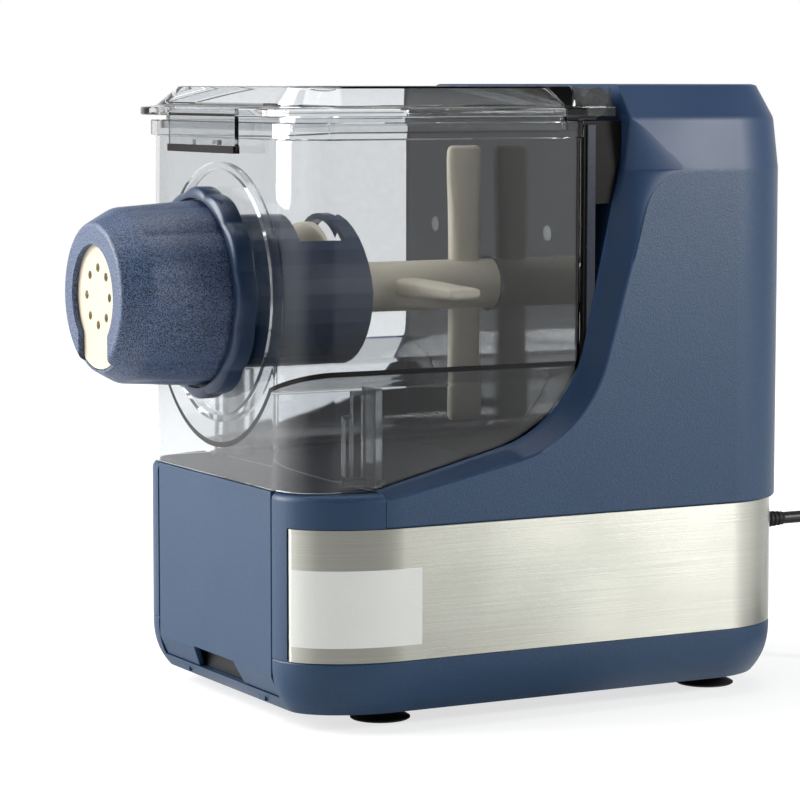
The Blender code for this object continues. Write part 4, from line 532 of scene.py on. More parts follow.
share = np.linspace(0, 1, 15)
side_levels = [(0.008 * (1 - s) ** 2.6, tray_low + (tray_high - 0.0006 - tray_low) * s) for s in share]
tray = stack("tray_shell", side_levels + [(0.0004, tray_high), (0.0013, tray_high), (0.0013, band_high)],
             back=band_back)
tray.data.materials.append(navy_body)
carve(tray, stack("tray_inside", [(0.0105, 0.0105)] + [(0.0038 + i, z + wall) for i, z in side_levels[3:]]
                  + [(0.0038, 0.1100)], back=band_back))
carve(tray, box_mesh("doorway", (-0.01, -door_half, notch_floor), (0.02, door_half, 0.11)))
carve(tray, box_mesh("front_trim", (-0.01, -0.2, tray_high), (0.0053, 0.2, 0.11)))
carve(tray, boot_hole())
for runner_y in (-0.042, 0.042):
    runner = box_mesh("runner", (0.005, runner_y - 0.003, 0.0095), (0.132, runner_y + 0.003, notch_floor))
    carve(tray, runner, "UNION")
dress(finished(tray), navy_body, "machine", "navy_plastic", "base_tray")

# %% [markdown]
# The steel band is one sheet bent round the base. Its outer and inner lines are the body plan and the
# same plan a millimetre further in, cut where the front posts begin.

# %% Steel band


def band_outline():
    """The outer plan behind the posts, then the inner plan back again."""
    fine, start = 40, 0.0027
    outer, inner = (plan(inset, back=band_back, fine=fine) for inset in (0.0, 0.0010))

    def run(line):
        """One line from the near post round the back to the far post."""
        half = line[:len(line) // 2]
        y = np.interp(start, half[:fine, 0], half[:fine, 1])
        body = line[line[:, 0] > start]
        return np.concatenate([[(start, y)], body, [(start, -y)]])

    return np.concatenate([run(outer), run(inner)[::-1]])


band = prism("band_sheet", at_z, band_outline(), band_low, band_high)
band.data.materials.append(steel_sheet)
carve(band, boot_hole())
dress(finished(band), steel_sheet, "machine", "brushed_steel", "steel_band")

# %% [markdown]
# A care label is stuck on the band, round the front corner. This one is left bare. It follows the
# band's plan: points at even steps along the outline, lifted a tenth of a millimetre.

# %% Bare label


def label_line():
    """Points at even steps along the plan's near side, between the label's two ends."""
    fine, first_x, last_x = 200, 0.0031, 0.0585
    line = plan(-0.00008, back=band_back, fine=fine)
    half = line[:len(line) // 2]
    along = np.concatenate([[0], np.cumsum(np.linalg.norm(np.diff(half, axis=0), axis=1))])
    first = np.interp(first_x, half[:fine, 0], along[:fine])
    last = np.interp(last_x, half[:, 0], along)
    steps = np.linspace(first, last, 90)
    return np.stack([np.interp(steps, along, half[:, k]) for k in (0, 1)], axis=-1)


label_low, label_high = 0.0400, 0.0750
label = prism("bare_label", at_z, label_line(), label_low, label_high, around=False, caps=False)
label.data.materials.append(label_paper)
modifier(label, "SOLIDIFY", thickness=0.00012, offset=1.0)
dress(finished(label), label_paper, "machine", "brushed_steel")

# %% [markdown]
# The lip under the chamber's front carries the chamber's weight and frames the drawer.

# %% Front lip and posts
lip_round = 0.004
turns = np.linspace(0, math.pi / 2, 7)
lip_levels = [(0.0, band_low), (0.0, deck - lip_round)]
lip_levels += [(lip_round * (1 - math.cos(t)), deck - lip_round * (1 - math.sin(t))) for t in turns[1:]]
lip = stack("front_lip", lip_levels)
lip.data.materials.append(navy_body)
seat = prism("seat", at_z, plan(0.0045), deck - 0.0002, 0.2)
# The seat's faces take the darker navy: painted shade in the recess under the chamber.
seat.data.materials.append(navy_matt_painted_shade)
carve(lip, seat)
carve(lip, box_mesh("behind", (0.0403, -0.2, 0), (0.4, 0.2, 0.3)))
carve(lip, box_mesh("passage", (-0.01, -door_half, 0), (0.06, door_half, 0.1043)))
carve(lip, box_mesh("face_room", (-0.01, -door_half, 0), (0.0033, door_half, 0.12)))
carve(lip, box_mesh("band_room", (0.0021, -0.2, 0), (0.06, 0.2, 0.0936)))
dress(finished(soften(lip, 0.0004)), navy_body, "machine", "navy_plastic", "front_frame")

# %% [markdown]
# The tower's cheeks sweep down round the chamber. Two lines in the side view, one on the chamber's
# side and one on the outside, bound a ramp. Low down it is a rounded edge between the two lines; at
# the crease the outer line leaves it, and above, the ramp is a hollow at the tower's front corner. The
# cutter that shapes it is a loft whose rows turn from the inner line to the outer one, height by height.
# The grained skin ends at the crease: what lies above it is smooth, as the ramp is.

# %% Housing
tower_levels = rounded_path([(0.0005, 0.0936), (0.0, 0.0943), (0.0, 0.252), (0.0026, 0.276), (0.011, 0.2914),
                             (0.0135, 0.292)], [0.0, 0.020, 0.008, 0.0012], 5)
crease, upper_crease = 0.2524, 0.2760
bay_half = 0.0864
inner_line = rounded_path([(0.0406, 0.1097), (0.142, 0.135), (0.1648, 0.237), (0.1693, crease)], [0.062, 0.022], 18)
outer_line = rounded_path([(0.0406, 0.1062), (0.1463, 0.1283), (0.1822, crease), (0.2300, crease)],
                          [0.062, 0.026], 18)[:-1]


def shifted_line(line, distance):
    """Moves an open line sideways, to its right as it runs."""
    ahead = np.gradient(line, axis=0)
    ahead = ahead / np.linalg.norm(ahead, axis=1)[:, None]
    return line + np.stack([ahead[:, 1], -ahead[:, 0]], axis=-1) * distance


def cutter_profile(line):
    """What lies in front of and above the line."""
    first = [(-0.02, 0.085), (line[0, 0], 0.085)]
    last = [(line[-1, 0], 0.305), (-0.02, 0.305)]
    return np.concatenate([first, line, last])


chamfer, join, low_points = 0.0007, 0.205, 20
climb = crease - (crease - join) * (1 - np.linspace(0, 1, 26)) ** 2
ramp_lines = []
for line in (inner_line, outer_line):
    upper = np.stack([np.interp(climb, line[:, 1], line[:, 0]), climb], axis=-1)
    ramp_lines.append(np.concatenate([line[:low_points], upper]))
low_z = ramp_lines[0][:, 1]
high_z = np.concatenate([np.linspace(crease, upper_crease, 15)[1:], np.linspace(upper_crease, 0.2925, 7)[1:]])
up = np.clip((high_z - crease) / (upper_crease - crease), 0, 1)
half_width = np.maximum(body_half - np.interp(high_z, tower_levels[:, 1], tower_levels[:, 0]), 0.0882)
front_x = np.interp(high_z, [crease, 0.2565, upper_crease, 0.292], [0.1693, 0.1699, 0.1699, 0.1675])
reach_x = 0.0009 + 0.0319 * (1 - up) ** 0.8
reach_y = np.where(high_z <= upper_crease, 0.0012 + 0.0081 * (1 - up),
                   0.0012 - 0.0008 * (high_z - upper_crease) / 0.0165)
late = np.concatenate([eased(np.clip((low_z - 0.210) / (crease - 0.210), 0, 1)), np.ones(len(high_z))])
starts = np.clip((low_z - 0.225) / (crease - 0.225), 0, 1)
y_inside = np.concatenate([bay_half + 0.0021 * starts ** 2, np.maximum(half_width - reach_y, 0.0876)])
y_outside = np.concatenate([body_half - 0.0001 * late[:len(low_z)], half_width + 0.00005])
inside = np.concatenate([ramp_lines[0], np.stack([front_x, high_z], axis=-1)])
outside = np.concatenate([ramp_lines[1], np.stack([front_x + reach_x, high_z], axis=-1)])


def cutter_row(line, y):
    """The cutter's section with its own depth at each point, and two plain corners at either end."""
    profile = cutter_profile(line)
    depth = np.concatenate([[y[0], y[0]], y, [y[-1], y[-1]]])
    return np.stack([profile[:, 0], -depth, profile[:, 1]], axis=-1)


def ramp_row(turn):
    """From the inner to the outer line: x goes as the share low down and as 1 - cos above the crease."""
    share = math.sin(turn) * (0.94 + 0.06 * late)
    across = (share * (1 - late) + (1 - math.cos(turn)) * late)[:, None]
    return cutter_row(inside + (outside - inside) * across, y_inside + (y_outside - y_inside) * share)


chamfered = outside + (shifted_line(outside, chamfer) - outside) * (1 - late)[:, None]
ramp_rows = [cutter_row(chamfered, np.full(len(late), 0.12)), cutter_row(chamfered, y_outside)]
ramp_rows += [ramp_row(math.radians(turn)) for turn in (87, 83, 78, 72, 65, 57, 48, 38, 28, 19, 10)]
ramp_rows.append(cutter_row(inside, np.maximum(y_inside, 0.0873)))
ramp_rows.append(cutter_row(inside, np.full(len(late), 0.0870)))
ramp_rows.append(cutter_row(shifted_line(inside, chamfer), np.full(len(late), bay_half)))
ramp_rows += [row * (1, -1, 1) for row in ramp_rows[::-1]]
ramp = grid_mesh("ramp", ramp_rows)
ramp.data.materials.append(navy_smooth)
shell = stack("tower_shell", tower_levels)
shell.data.materials.append(navy_body)
carve(shell, ramp)
bay = box_mesh("bay", (-0.02, -bay_half, deck), (0.1528, bay_half, 0.272))
# The bay's walls take the darker navy: painted shade inside the bay.
bay.data.materials.append(navy_matt_painted_shade)
carve(shell, bay)


def hollow_plan(front, inset):
    """Square at the front, round at the rear corners."""
    t = np.linspace(0, math.pi / 2, 24)
    r = rear_round - inset
    w = body_half - inset
    tail = np.stack([body_back - inset - r + r * np.sin(t), -w + r - r * np.cos(t)], axis=-1)
    near = np.concatenate([[(front, -w)], tail])
    return np.concatenate([near, near[::-1] * (1, -1)])


carve(shell, prism("low_hollow", at_z, hollow_plan(0.0431, wall), 0.085, 0.1037))
upper = outer_line[outer_line[:, 1] > 0.135]
hollow_rows = []
for z in (0.098, 0.150, 0.166, 0.206, 0.224, 0.240, 0.252, 0.258, 0.276, 0.286):
    slanted = float(np.interp(z, upper[:, 1], upper[:, 0])) + wall
    over = float(np.interp(z, [0.252, 0.276, 0.292], [0.0, 0.0026, 0.0110]))
    hollow_rows.append(at_z(hollow_plan(max(0.1553, slanted), wall + over), z))
carve(shell, grid_mesh("tower_hollow", hollow_rows))
carve(shell, rod("shaft_hole", "x", 0.0123, 0.14, 0.175, mix_axis))


def plate_outline(half_x, half_z, radius, middle=(0.219, 0.175), count=12):
    """Rectangle with quarter-circle corners."""
    quarter_turn = np.arange(count + 1) / count * math.pi / 2
    parts = []
    for quarter, (sx, sz) in enumerate(((1, 1), (-1, 1), (-1, -1), (1, -1))):
        corner = (middle[0] + sx * (half_x - radius), middle[1] + sz * (half_z - radius))
        parts.append(polar(radius, quarter_turn + quarter * math.pi / 2, corner))
    return np.concatenate(parts)


for half_x, half_z, radius, room_y in ((0.0263, 0.0573, 0.006, 0.0968), (0.022, 0.053, 0.004, 0.088)):
    carve(shell, prism("panel_room", at_y, plate_outline(half_x, half_z, radius), room_y, 0.11))
shell = finished(shell)
face_z = np.array([face.center.z for face in shell.data.polygons])
face_slots = np.array([face.material_index for face in shell.data.polygons])
above_crease = (face_slots == shell.data.materials.find("navy_body")) & (face_z > crease - 0.0002)
face_slots[above_crease] = shell.data.materials.find("navy_smooth")
shell.data.polygons.foreach_set("material_index", face_slots)
print("smooth faces above the crease:", int(np.sum(above_crease)))
dress(shell, navy_body, "machine", "navy_plastic", "main_housing")

# %% [markdown]
# The drawer's front tucks in below a crease so that fingers reach the notch under it.

# %% Drawer front
front_line = [(0, 0.0240), (0, 0.1090), (0.003, 0.1090), (0.003, 0.0240), (0.0072, 0.0146), (0.0042, 0.0146)]
front = prism("drawer_face", at_y, front_line, -0.062, 0.062)
front.data.materials.append(navy_body)
notch = [(-0.025, 0.004), (-0.025, notch_floor), (-0.022, 0.0246), (0.022, 0.0246), (0.025, notch_floor),
         (0.025, 0.004)]
carve(front, prism("notch", at_x, notch, -0.02, 0.02))
dress(finished(soften(front, 0.0009, 3, 18)), navy_body, "drawer", "navy_plastic", "drawer_front")

# %% [markdown]
# The chamber is one clear moulding: outer walls, a half-pipe trough that flares to the walls, a rim
# above, and a short neck at the front. Outside minus inside gives walls of an even thickness.

# %% Clear chamber
chamber_foot, rim_low, rim_high = 0.1096, 0.2670, 0.2750
chamber_half, chamber_flat, chamber_rear = 0.0858, 0.062, 0.003
rim_out, outer_side = 0.0024, 0.0958


def chamber_plan(inset, z, grow=0.0):
    """The chamber's plan at a height: the front wall leans back a little on its way up."""
    front = 0.0004 + 0.0022 * (z - chamber_foot) / (rim_high - chamber_foot)
    return plan(inset, back=0.150, half=chamber_half + grow, flat=chamber_flat, depth=0.020, rear=chamber_rear,
                front=front - grow)


def trough_line(offset, top):
    """Half circle round the mixing axis up to 35 degrees below it, then a flare to the walls."""
    start = math.radians(35)
    arc = polar(0.070 + offset, np.linspace(-math.pi + start, -start, 60), mix_axis)
    shoulder = 0.168 - offset
    first = [(outer_side, top), (-outer_side, top), (-outer_side, shoulder)]
    return np.concatenate([first, arc, [(outer_side, shoulder)]])


chamber = grid_mesh("clear_chamber", [
    at_z(chamber_plan(0.0, chamber_foot), chamber_foot), at_z(chamber_plan(0.0, rim_low), rim_low),
    at_z(chamber_plan(0.0, rim_high, rim_out), rim_low + 0.0008),
    at_z(chamber_plan(0.0, rim_high, rim_out), rim_high - 0.0005),
    at_z(chamber_plan(0.0, rim_high, 0.0019), rim_high)])
above = prism("above", at_x, trough_line(0.0, 0.285), -0.01, 0.16)
carve(above, grid_mesh("above_plan", [at_z(chamber_plan(wall, chamber_foot), chamber_foot),
                                      at_z(chamber_plan(wall, rim_high), 0.295)]), "INTERSECT")
under_line = np.concatenate([[(-outer_side, 0.09)], trough_line(wall, 0.2)[2:], [(outer_side, 0.09)]])
below = prism("below", at_x, under_line, -0.01, 0.16)
carve(below, grid_mesh("below_plan", [at_z(chamber_plan(wall, chamber_foot), 0.089),
                                      at_z(chamber_plan(wall, rim_high), 0.275)]), "INTERSECT")
carve(chamber, above)
carve(chamber, below)
carve(chamber, rod("neck", "x", 0.0392, -0.0066, 0.0051, mix_axis, 96), "UNION")
collar = [(0.0026, 0.0575), (0.0026, 0.0605), (0.0086, 0.0605), (0.0086, 0.0575)]
carve(chamber, lathe_x("collar", collar, mix_axis), "UNION")
carve(chamber, rod("outlet", "x", 0.0362, -0.02, 0.025, mix_axis, 96))
carve(chamber, rod("journal", "x", 0.0135, 0.14, 0.16, mix_axis, 48))
dress(finished(soften(chamber, 0.0004, 2, 50), 40), clear_smoke, "chamber", "smoke_clear", "mixing_chamber")

# %% [markdown]
# A small clear frame stands under the trough at each side: three uprights of unequal height, tied by
# cross bars. Beside the black wall a grey strip follows the slanted edge of the tower.

# %% Trough braces and wall trim


def slab(name, side, x_low, x_high, y_low, y_high, z_high, z_low=chamber_foot):
    """A box at one side of the machine, given by its distances from the middle."""
    ends = sorted((side * y_low, side * y_high))
    return box_mesh(name, (x_low, ends[0], z_low), (x_high, ends[1], z_high))


windows = ((0.0300, 0.0385, 0.16, 0.1420), (0.0352, 0.0380, 0.1402, 0.1135), (0.0392, 0.0442, 0.1512, 0.1135),
           (0.0490, 0.0526, 0.1512, 0.1135))
for word, side in (("near", -1), ("far", 1)):
    brace = slab("brace_" + word, side, 0.0340, 0.0540, 0.0648, 0.0672, 0.1532)
    for x_low, x_high, z_high, z_low in windows:
        carve(brace, slab("window", side, x_low, x_high, 0.06, 0.07, z_high, z_low))
    carve(brace, slab("upright", side, 0.0448, 0.0484, 0.0645, 0.0780, 0.1550), "UNION")
    carve(brace, slab("foot_bar", side, 0.0330, 0.0550, 0.0640, 0.0690, 0.1118), "UNION")
    dress(finished(soften(brace, 0.0002, 1, 50), 40), dark_smoke, "chamber", "smoke_clear", "trough_brace_" + word)

    trim_line = [(0.1512, 0.118), (0.1560, 0.150), (0.1560, 0.2735), (0.1516, 0.2735)]
    trim = prism("wall_trim_" + word, at_y, trim_line, *sorted((side * 0.08615, side * 0.0872)))
    dress(finished(soften(trim, 0.0002, 1, 50)), grey_trim, "machine", "dark_wall")

# %% [markdown]
# The lid is a flat flange with a bevelled raised middle, hollow underneath, with a skirt that drops
# inside the chamber's rim and keeps the flour in.

# %% Lid and latch
flange, lid_back = 0.0062, 0.1504


def lid_plan(inset, depth=None, back=lid_back):
    """The lid's plan at an inset from the flange edge; the rear edge stays where it is."""
    grow = flange - inset
    return plan(0.0, back=back, half=chamber_half + grow, flat=chamber_flat - 0.4 * inset,
                depth=depth or 0.020 + grow / 2, rear=chamber_rear, front=-0.0048 + inset)


def inner_plan(inset):
    """The lid's inside: drawn in alike at the front, the sides and the rear."""
    return lid_plan(inset, 0.016, lid_back - inset + flange)


low, high, top = 0.2773, 0.2812, 0.2912
lid = grid_mesh("clear_lid", [at_z(lid_plan(i), z) for i, z in (
    (0.0004, low), (0.0, low + 0.0005), (0.0, high - 0.0007), (0.0003, high - 0.0002), (0.0008, high),
    (0.0062, high + 0.0006), (0.0075, high + 0.0014), (0.0150, top - 0.0014), (0.0158, top - 0.0004), (0.0166, top))])
skirt_inset, skirt_wall = flange + wall + rim_out, 0.0018
carve(lid, prism("skirt", at_z, inner_plan(skirt_inset), 0.271, low + 0.001), "UNION")
carve(lid, grid_mesh("inside", [at_z(inner_plan(skirt_inset + skirt_wall), 0.26),
                                at_z(inner_plan(skirt_inset + skirt_wall), high - 0.0004),
                                at_z(inner_plan(0.0165 + 0.0018), top - 0.0022)]))
latch_pin, latch_half = (-0.003, 0.2792), 0.0365
carve(lid, box_mesh("latch_room", (-0.02, -0.0368, 0.26), (-0.0006, 0.0368, top)))
carve(lid, rod("stub_hole", "y", 0.0012, -0.039, 0.039, latch_pin, 24))
cover_line = np.array([(0.0853, 0.2774), (0.0915, 0.2774), (0.0915, 0.2812), (0.0885, 0.2818), (0.0865, 0.2905),
                       (0.0853, 0.2905)])
for side in (-1, 1):
    carve(lid, prism("hinge_cover", at_x, cover_line * (side, 1), 0.1440, 0.1640), "UNION")
dress(finished(soften(lid, 0.0003, 2, 50), 30), clear_smoke, "lid", "smoke_clear", "lid")

latch = rod("clear_latch", "y", 0.0018, -latch_half, latch_half, latch_pin, 32)
latch.data.materials.append(clear_smoke)
carve(latch, box_mesh("plate", (-0.0048, -latch_half, 0.2612), (-0.0028, latch_half, latch_pin[1])), "UNION")
bar = box_mesh("bar", (-0.0056, -latch_half, 0.2606), (-0.0024, latch_half, 0.2640))
bar.data.materials.append(dark_gloss)
carve(latch, bar, "UNION")
carve(latch, box_mesh("hook", (-0.0038, -0.011, 0.264), (0.0016, 0.011, 0.2664)), "UNION")
carve(latch, rod("stubs", "y", 0.0009, -0.0387, 0.0387, latch_pin, 24), "UNION")
dress(finished(soften(latch, 0.0003, 2, 50), 40), clear_smoke, "latch", "smoke_clear", "lid_latch")

# %% [markdown]
# The nozzle: a scalloped locking ring, and a cap with soft facets and a round nose. Both are round
# outlines whose radius dips between lobes; the dip fades out towards the nose.

# %% Locking ring and nozzle cap
lobe_dip = 0.0016


def lobed(radius, depth, lobes=12, count=288):
    """Radius minus the dip times (1 - |cos|) of half the lobe angle: round swellings with narrow dips."""
    turn = full_turn(count)
    return polar(radius - lobe_dip * depth * (1 - np.abs(np.cos(turn * lobes / 2))), turn, mix_axis)


ring_stations = [(-0.0095, 0.0452, 0.3), (-0.0093, 0.0470, 0.6), (-0.0084, 0.0486, 0.9), (-0.0076, 0.0492, 1.0),
                 (-0.0066, 0.0494, 1.0), (-0.0006, 0.0494, 1.0), (0.0004, 0.0491, 1.0), (0.0008, 0.0484, 1.0)]
scallop = grid_mesh("scalloped_ring", [at_x(lobed(r, d), x) for x, r, d in ring_stations])
carve(scallop, rod("ring_bore", "x", 0.0434, -0.02, 0.02, mix_axis, 144))
carve(scallop, rod("ring_mouth", "x", 0.0443, -0.02, -0.0055, mix_axis, 144))
dress(finished(scallop, 40), navy_satin, "ring", "navy_plastic", "lock_ring")

nose = rounded_path([(-0.0005, 0.0430), (-0.0105, 0.0430), (-0.0475, 0.0405), (-0.0600, 0.0335), (-0.0600, 0.030)],
                    [0.004, 0.010, 0.0028], 10)
fade = np.clip((nose[:, 0] + 0.060) / 0.050, 0, 1) ** 1.2
cap = grid_mesh("speckled_cap", [at_x(lobed(r, f), x) for (x, r), f in zip(nose, fade)])
hole_line = [(0.01, 0.0398), (-0.021, 0.0398), (-0.0235, 0.0364), (-0.047, 0.0364), (-0.0573, 0.0338)]
carve(cap, grid_mesh("cap_bore", [at_x(ring_points(r, 144, mix_axis), x) for x, r in hole_line]))
carve(cap, rod("opening", "x", 0.0240, -0.08, -0.055, mix_axis, 128))
carve(cap, box_mesh("slot", (-0.08, -0.017, 0.14), (-0.0570, 0.017, 0.184)))
dress(finished(soften(cap, 0.0008, 3, 45), 40), navy_speckle, "shaping_head", "navy_grain", "nozzle_cap")

# %% [markdown]
# Inside, a helical screw pushes dough to the disc and arms knead it. The screw is one closed skin:
# each cross-section is a core with a lobe, turned a little further than the section before.

# %% Screw and mixing arms


def screw_grid(rows=220, columns=64):
    """Radius rises smoothly from the core to the flight over a band of angles that turns with x."""
    pitch, turns_total, start = 0.030, 3.6, -0.049
    core, flight = 0.0105, 0.0320
    t = np.linspace(0, 1, rows)[:, None]
    a = full_turn(columns)[None, :]
    away = np.abs((a + math.pi) % math.tau - math.pi)
    lift = eased(np.clip((math.radians(72) - away) / math.radians(42), 0, 1))
    taper = np.clip(np.minimum(t, 1 - t) * turns_total * 4, 0, 1)
    r = core + (flight - core) * lift * taper
    turn = a + t * turns_total * math.tau
    x = np.broadcast_to(start + pitch * turns_total * t, r.shape)
    return np.stack([x, r * np.cos(turn), axis_z + r * np.sin(turn)], axis=-1)


screw = finished(grid_mesh("helix_screw", screw_grid()), 60)
dress(screw, ivory, "mixer", "ivory_plastic", "extruder_screw")

hub_line = rounded_path([(0.0595, 0.0098), (0.0612, 0.012), (0.150, 0.012)], [0.001], 4)
hub = grid_mesh("mixing_arms", [at_x(ring_points(r, 64, mix_axis), x) for x, r in hub_line])


def arm_grid(x, degrees):
    """Superellipse sections along the arm: thick at the hub, a broad thin paddle at the tip."""
    out = np.array([0.004, 0.020, 0.037, 0.050, 0.060, 0.0645, 0.0664, 0.0670])
    thick = np.array([0.0045, 0.0045, 0.0040, 0.0032, 0.0030, 0.0028, 0.0020, 0.0010])
    wide = np.array([0.0075, 0.0076, 0.0080, 0.0088, 0.0090, 0.0088, 0.0080, 0.0066])
    c, s = superellipse(28, 0.6)
    angle = math.radians(degrees)
    along, across = np.array([math.cos(angle), math.sin(angle)]), np.array([-math.sin(angle), math.cos(angle)])
    yz = along[None, None, :] * out[:, None, None] + across[None, None, :] * (thick[:, None] * s)[:, :, None]
    return np.concatenate([(x + wide[:, None] * c)[:, :, None], yz + mix_axis], axis=-1)


for x, degrees in ((0.1345, 90), (0.1345, 270), (0.098, 0), (0.098, 180)):
    carve(hub, grid_mesh("arm", arm_grid(x, degrees)), "UNION")
carve(hub, prism("socket", at_x, ring_points(0.0077, 6, mix_axis), 0.134, 0.16))
dress(finished(hub, 40), ivory, "mixer", "ivory_plastic", "mixing_paddle")

# %% [markdown]
# Four suction feet: a thin soft disc under a stem with a bead, each turned from one line.

# %% Suction feet
foot_line = [(0.0004, 0.0), (0.0134, 0.0), (0.0140, 0.0004), (0.0140, 0.0009), (0.0128, 0.0016), (0.0100, 0.0026),
             (0.0088, 0.0034), (0.0085, 0.0042), (0.0089, 0.0047), (0.0089, 0.0055), (0.0085, 0.0060),
             (0.0085, 0.0077), (0.0004, 0.0077)]
for row, foot_x in (("front", 0.056), ("rear", 0.236)):
    for word, foot_y in (("near", -0.062), ("far", 0.062)):
        rows = [at_z(ring_points(r, 64, (foot_x, foot_y)), z) for r, z in foot_line]
        foot = finished(grid_mesh("cup_%s_%s" % (row, word), rows), 45)
        dress(foot, black_rubber, "machine", "rubber", "foot_%s_%s" % (row, word))

# %% [markdown]
# On the far side there is a fluted knob, two metal buttons and a small window. The knob's radius is a
# circle minus a cosine wave, which fades out at its domed face.

# %% Knob
knob_centre = (0.219, 0.173)
knob_y = 0.0989


def fluted(radius, depth, flutes=24, count=240):
    """Radius minus a cosine wave, one for each flute."""
    turn = full_turn(count)
    return polar(radius - depth * (0.5 + 0.5 * np.cos(turn * flutes)), turn, knob_centre)


knob_rows = [(0.0169, 0.0004, 0.0005), (0.0170, 0.0007, 0.0010), (0.0170, 0.0008, 0.0090), (0.0166, 0.0006, 0.0102),
             (0.0158, 0.0002, 0.0110), (0.0148, 0.0, 0.0118), (0.0138, 0.0, 0.0121), (0.0100, 0.0, 0.0119)]
knob = grid_mesh("fluted_knob", [at_y(fluted(r, d), knob_y + y) for r, d, y in knob_rows])
carve(knob, rod("knob_stem", "y", 0.0030, 0.0916, 0.105, knob_centre, 32), "UNION")
carve(knob, box_mesh("pointer", (0.2184, 0.1105, 0.1785), (0.2196, 0.12, 0.1885)))
dress(finished(knob, 40), steel_turned, "knob", "brushed_steel", "selector_knob")

# %% [markdown]
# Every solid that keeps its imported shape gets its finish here, in the material slot it already has.

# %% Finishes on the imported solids
carried = (
    (dark_gloss, "drive_wall"), (navy_satin, "extrusion_barrel"), (disc_cream, "shaping_disc"),
    (display_glass, "display_window"), (board_mask, "control_board power_board"),
    (ivory, "idler_wheel spare_disc_1 spare_disc_2 spare_disc_3"), (steel_sheet, "gear_frame_front gear_frame_rear"),
    # The drawer tray's black is partly a guess at its colour, partly painted shade for the notch in front of it.
    (black_plastic, "lid_hinge_bar hinge_block_near hinge_block_far hinge_pin drawer_tray cooling_fan"),
    (black_plastic, "control_panel lid_switch"),
    (steel_turned, "output_gear idler_pinion motor_pinion output_shaft shaft_bush idler_axle motor motor_shaft"),
    (steel_turned, "power_button start_button plug_blade_near plug_blade_far"),
    (steel_turned, "wall_screw_1 wall_screw_2 wall_screw_3 wall_screw_4"),
)
finish_of = {name: chosen for chosen, names in carried for name in names.split()}
for name, solid in solids.items():
    chosen = finish_of.get(name, navy_body)
    if len(solid.material_slots) == 0:
        solid.data.materials.append(chosen)
    for slot in solid.material_slots:
        slot.material = chosen
print("solids with their own finish:", len(finish_of))

# %% [markdown]
# The set is a white sweep. A studio isn't white all round, though: towards the camera it is dark, and
# to the right a screen ends. Brushed steel shows that as soft upright bands, so the tone of the set
# is a curve over the compass direction, shared by sky and floor. Straight into the lens it is white.

# %% Floor and sky


def tone_group():
    """Compass direction turned into a grey tone by a curve with a few knots, dimmed towards the ceiling."""
    group = bpy.data.node_groups.new("studio_tone", "ShaderNodeTree")
    group.interface.new_socket("Direction", in_out="INPUT", socket_type="NodeSocketVector")
    group.interface.new_socket("Tone", in_out="OUTPUT", socket_type="NodeSocketColor")
    given, made = group.nodes.new("NodeGroupInput"), group.nodes.new("NodeGroupOutput")
    parts = node(group, "SeparateXYZ", {0: given.outputs["Direction"]}).outputs
    compass = node(group, "Math", {0: parts["Y"], 1: parts["X"]}, operation="ARCTAN2").outputs[0]
    share = node(group, "MapRange", {"Value": compass, "From Min": -math.pi, "From Max": math.pi})
    tone = node(group, "ValToRGB", {"Fac": share.outputs["Result"]})
    ceiling = node(group, "MapRange", {"Value": parts["Z"], "From Min": 0.20, "From Max": 0.62, "To Min": 1.0,
                                       "To Max": 0.18})
    dimmed = node(group, "VectorMath", {0: tone.outputs["Color"], "Scale": ceiling.outputs["Result"]},
                  operation="SCALE")
    group.links.new(dimmed.outputs[0], made.inputs["Tone"])
    knots = [(-180, 0.95), (-158, 0.70), (-138, 0.22), (-70, 0.20), (-62, 0.50), (-54, 1.0), (-25, 1.0), (-5, 0.45),
             (15, 0.55), (32, 1.0), (96, 1.0), (108, 0.45), (140, 0.45), (180, 0.95)]
    stops = tone.color_ramp.elements
    while len(stops) < len(knots):
        stops.new(0.5)
    for element, (degrees, grey) in zip(stops, knots):
        element.position = (degrees + 180) / 360
        element.color = (grey, grey, grey, 1.0)
    return group


def new_tone(tree, direction):
    """The studio's tone in a node tree, for a direction; straight into the lens it is white."""
    tone = node(tree, "Group", {"Direction": direction}, node_tree=studio_tone)
    lens = node(tree, "LightPath").outputs["Is Camera Ray"]
    into_lens = node(tree, "Mix", {"Factor": lens, "A": tone.outputs["Tone"], "B": (1.0, 1.0, 1.0, 1.0)},
                     data_type="RGBA")
    return into_lens.outputs["Result"]


def seen_rays(tree):
    """One where the ray comes from the camera, a mirror or a clear piece."""
    rays = node(tree, "LightPath").outputs
    both = node(tree, "Math", {0: rays["Is Camera Ray"], 1: rays["Is Glossy Ray"]}, operation="MAXIMUM")
    every = node(tree, "Math", {0: both.outputs[0], 1: rays["Is Transmission Ray"]}, operation="MAXIMUM")
    return every.outputs[0]


def plain_and_seen(tree, kind, plain, seen):
    """The output of a node tree: one shader for the light it gives, another for what is seen of it."""
    either = node(tree, "MixShader", {"Fac": seen_rays(tree), 1: plain.outputs[0], 2: seen.outputs[0]})
    node(tree, kind, {"Surface": either.outputs[0]})


studio_tone = tone_group()
world = bpy.data.worlds.new("studio")
bpy.context.scene.world = world
world.use_nodes = True
tree = world.node_tree
tree.nodes.clear()
sky = node(tree, "Background", {"Color": (0.90, 0.95, 1.0, 1.0), "Strength": 0.17})
around = node(tree, "TexCoord").outputs["Generated"]
white = node(tree, "Background", {"Color": new_tone(tree, around), "Strength": 1.0})
plain_and_seen(tree, "OutputWorld", sky, white)

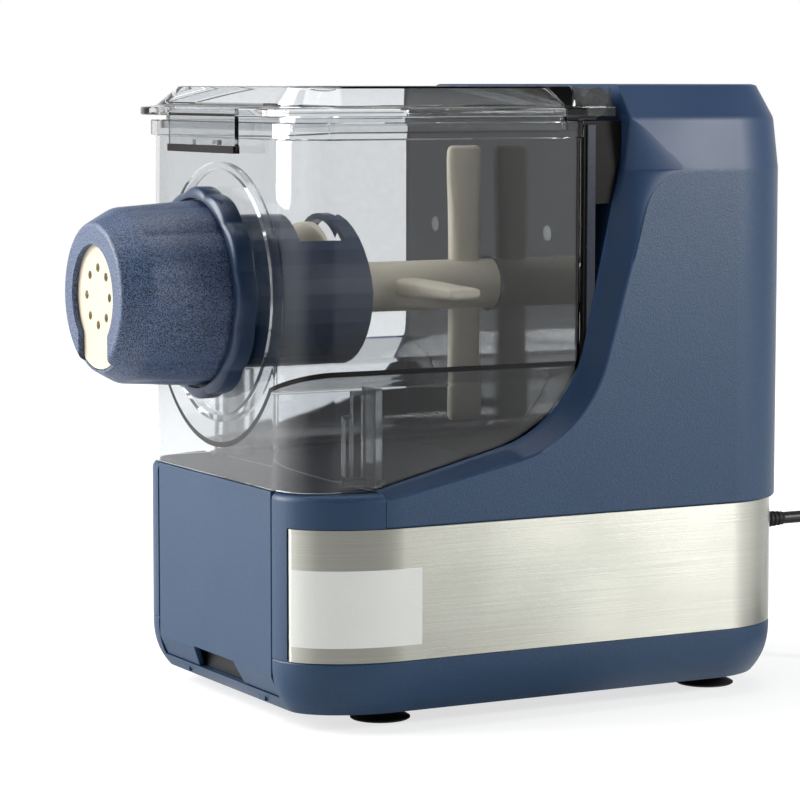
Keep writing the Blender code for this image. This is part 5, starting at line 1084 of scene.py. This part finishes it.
floor_half, floor_z = 2.2, -0.0005
floor_corners = [(x * floor_half, y * floor_half, floor_z) for x, y in ((-1, -1), (1, -1), (1, 1), (-1, 1))]
floor_mesh = bpy.data.meshes.new("floor")
floor_mesh.from_pydata(floor_corners, [], [(0, 1, 2, 3)])
floor = new_object("floor", floor_mesh)
paint = bpy.data.materials.new("floor_paint")
paint.use_nodes = True
tree = paint.node_tree
tree.nodes.clear()
matt, half_matt = (node(tree, "BsdfDiffuse", {"Color": (grey, grey, grey, 1.0)}) for grey in (0.75, 0.40))
place = node(tree, "TexCoord").outputs["Object"]
distance = node(tree, "VectorMath", {0: place}, operation="LENGTH").outputs["Value"]
# Within 0.75 m of the middle the floor's glow is weaker: a painted shadow round the machine, besides the real one in
# its diffuse part.
rise = node(tree, "MapRange", {"Value": distance, "From Min": 0.30, "From Max": 0.75, "To Min": 0.70, "To Max": 1.0})
glow = node(tree, "Emission", {"Color": new_tone(tree, place), "Strength": rise.outputs["Result"]})
open_floor = node(tree, "AddShader", {0: half_matt.outputs[0], 1: glow.outputs[0]})
plain_and_seen(tree, "OutputMaterial", matt, open_floor)
floor_mesh.materials.append(paint)
print("floor in m:", 2 * floor_half)

# %% [markdown]
# Three soft lamps: a large one on the left, which makes the front face the lightest, a small one on
# the right in front, whose broad reflection fades down the flat side, and a weak one overhead.

# %% Lamps


def soft_lamp(name, place, aim, size, watts):
    """A rectangular area lamp, turned to face a point."""
    data = bpy.data.lights.new(name, "AREA")
    data.shape = "RECTANGLE"
    data.size, data.size_y = size
    data.energy = watts
    lamp = new_object(name, data)
    lamp.location = place
    from_to = np.array(aim) - np.array(place)
    yaw = math.atan2(from_to[1], from_to[0])
    pitch = math.atan2(math.hypot(from_to[0], from_to[1]), -from_to[2])
    lamp.rotation_euler = (pitch, 0.0, yaw - math.pi / 2)
    print(name, "watts:", watts)


soft_lamp("left_softbox", (-1.25, 0.75, 0.75), (0.0, 0.0, 0.12), (1.2, 1.2), 47)
soft_lamp("right_softbox", (0.75, -0.93, 0.50), (0.2, -0.1, 0.25), (0.35, 0.25), 9)
soft_lamp("top_softbox", (0.0, 0.1, 1.6), (0.0, 0.0, 0.1), (1.2, 1.0), 12)
bpy.context.scene.view_settings.view_transform = "Standard"
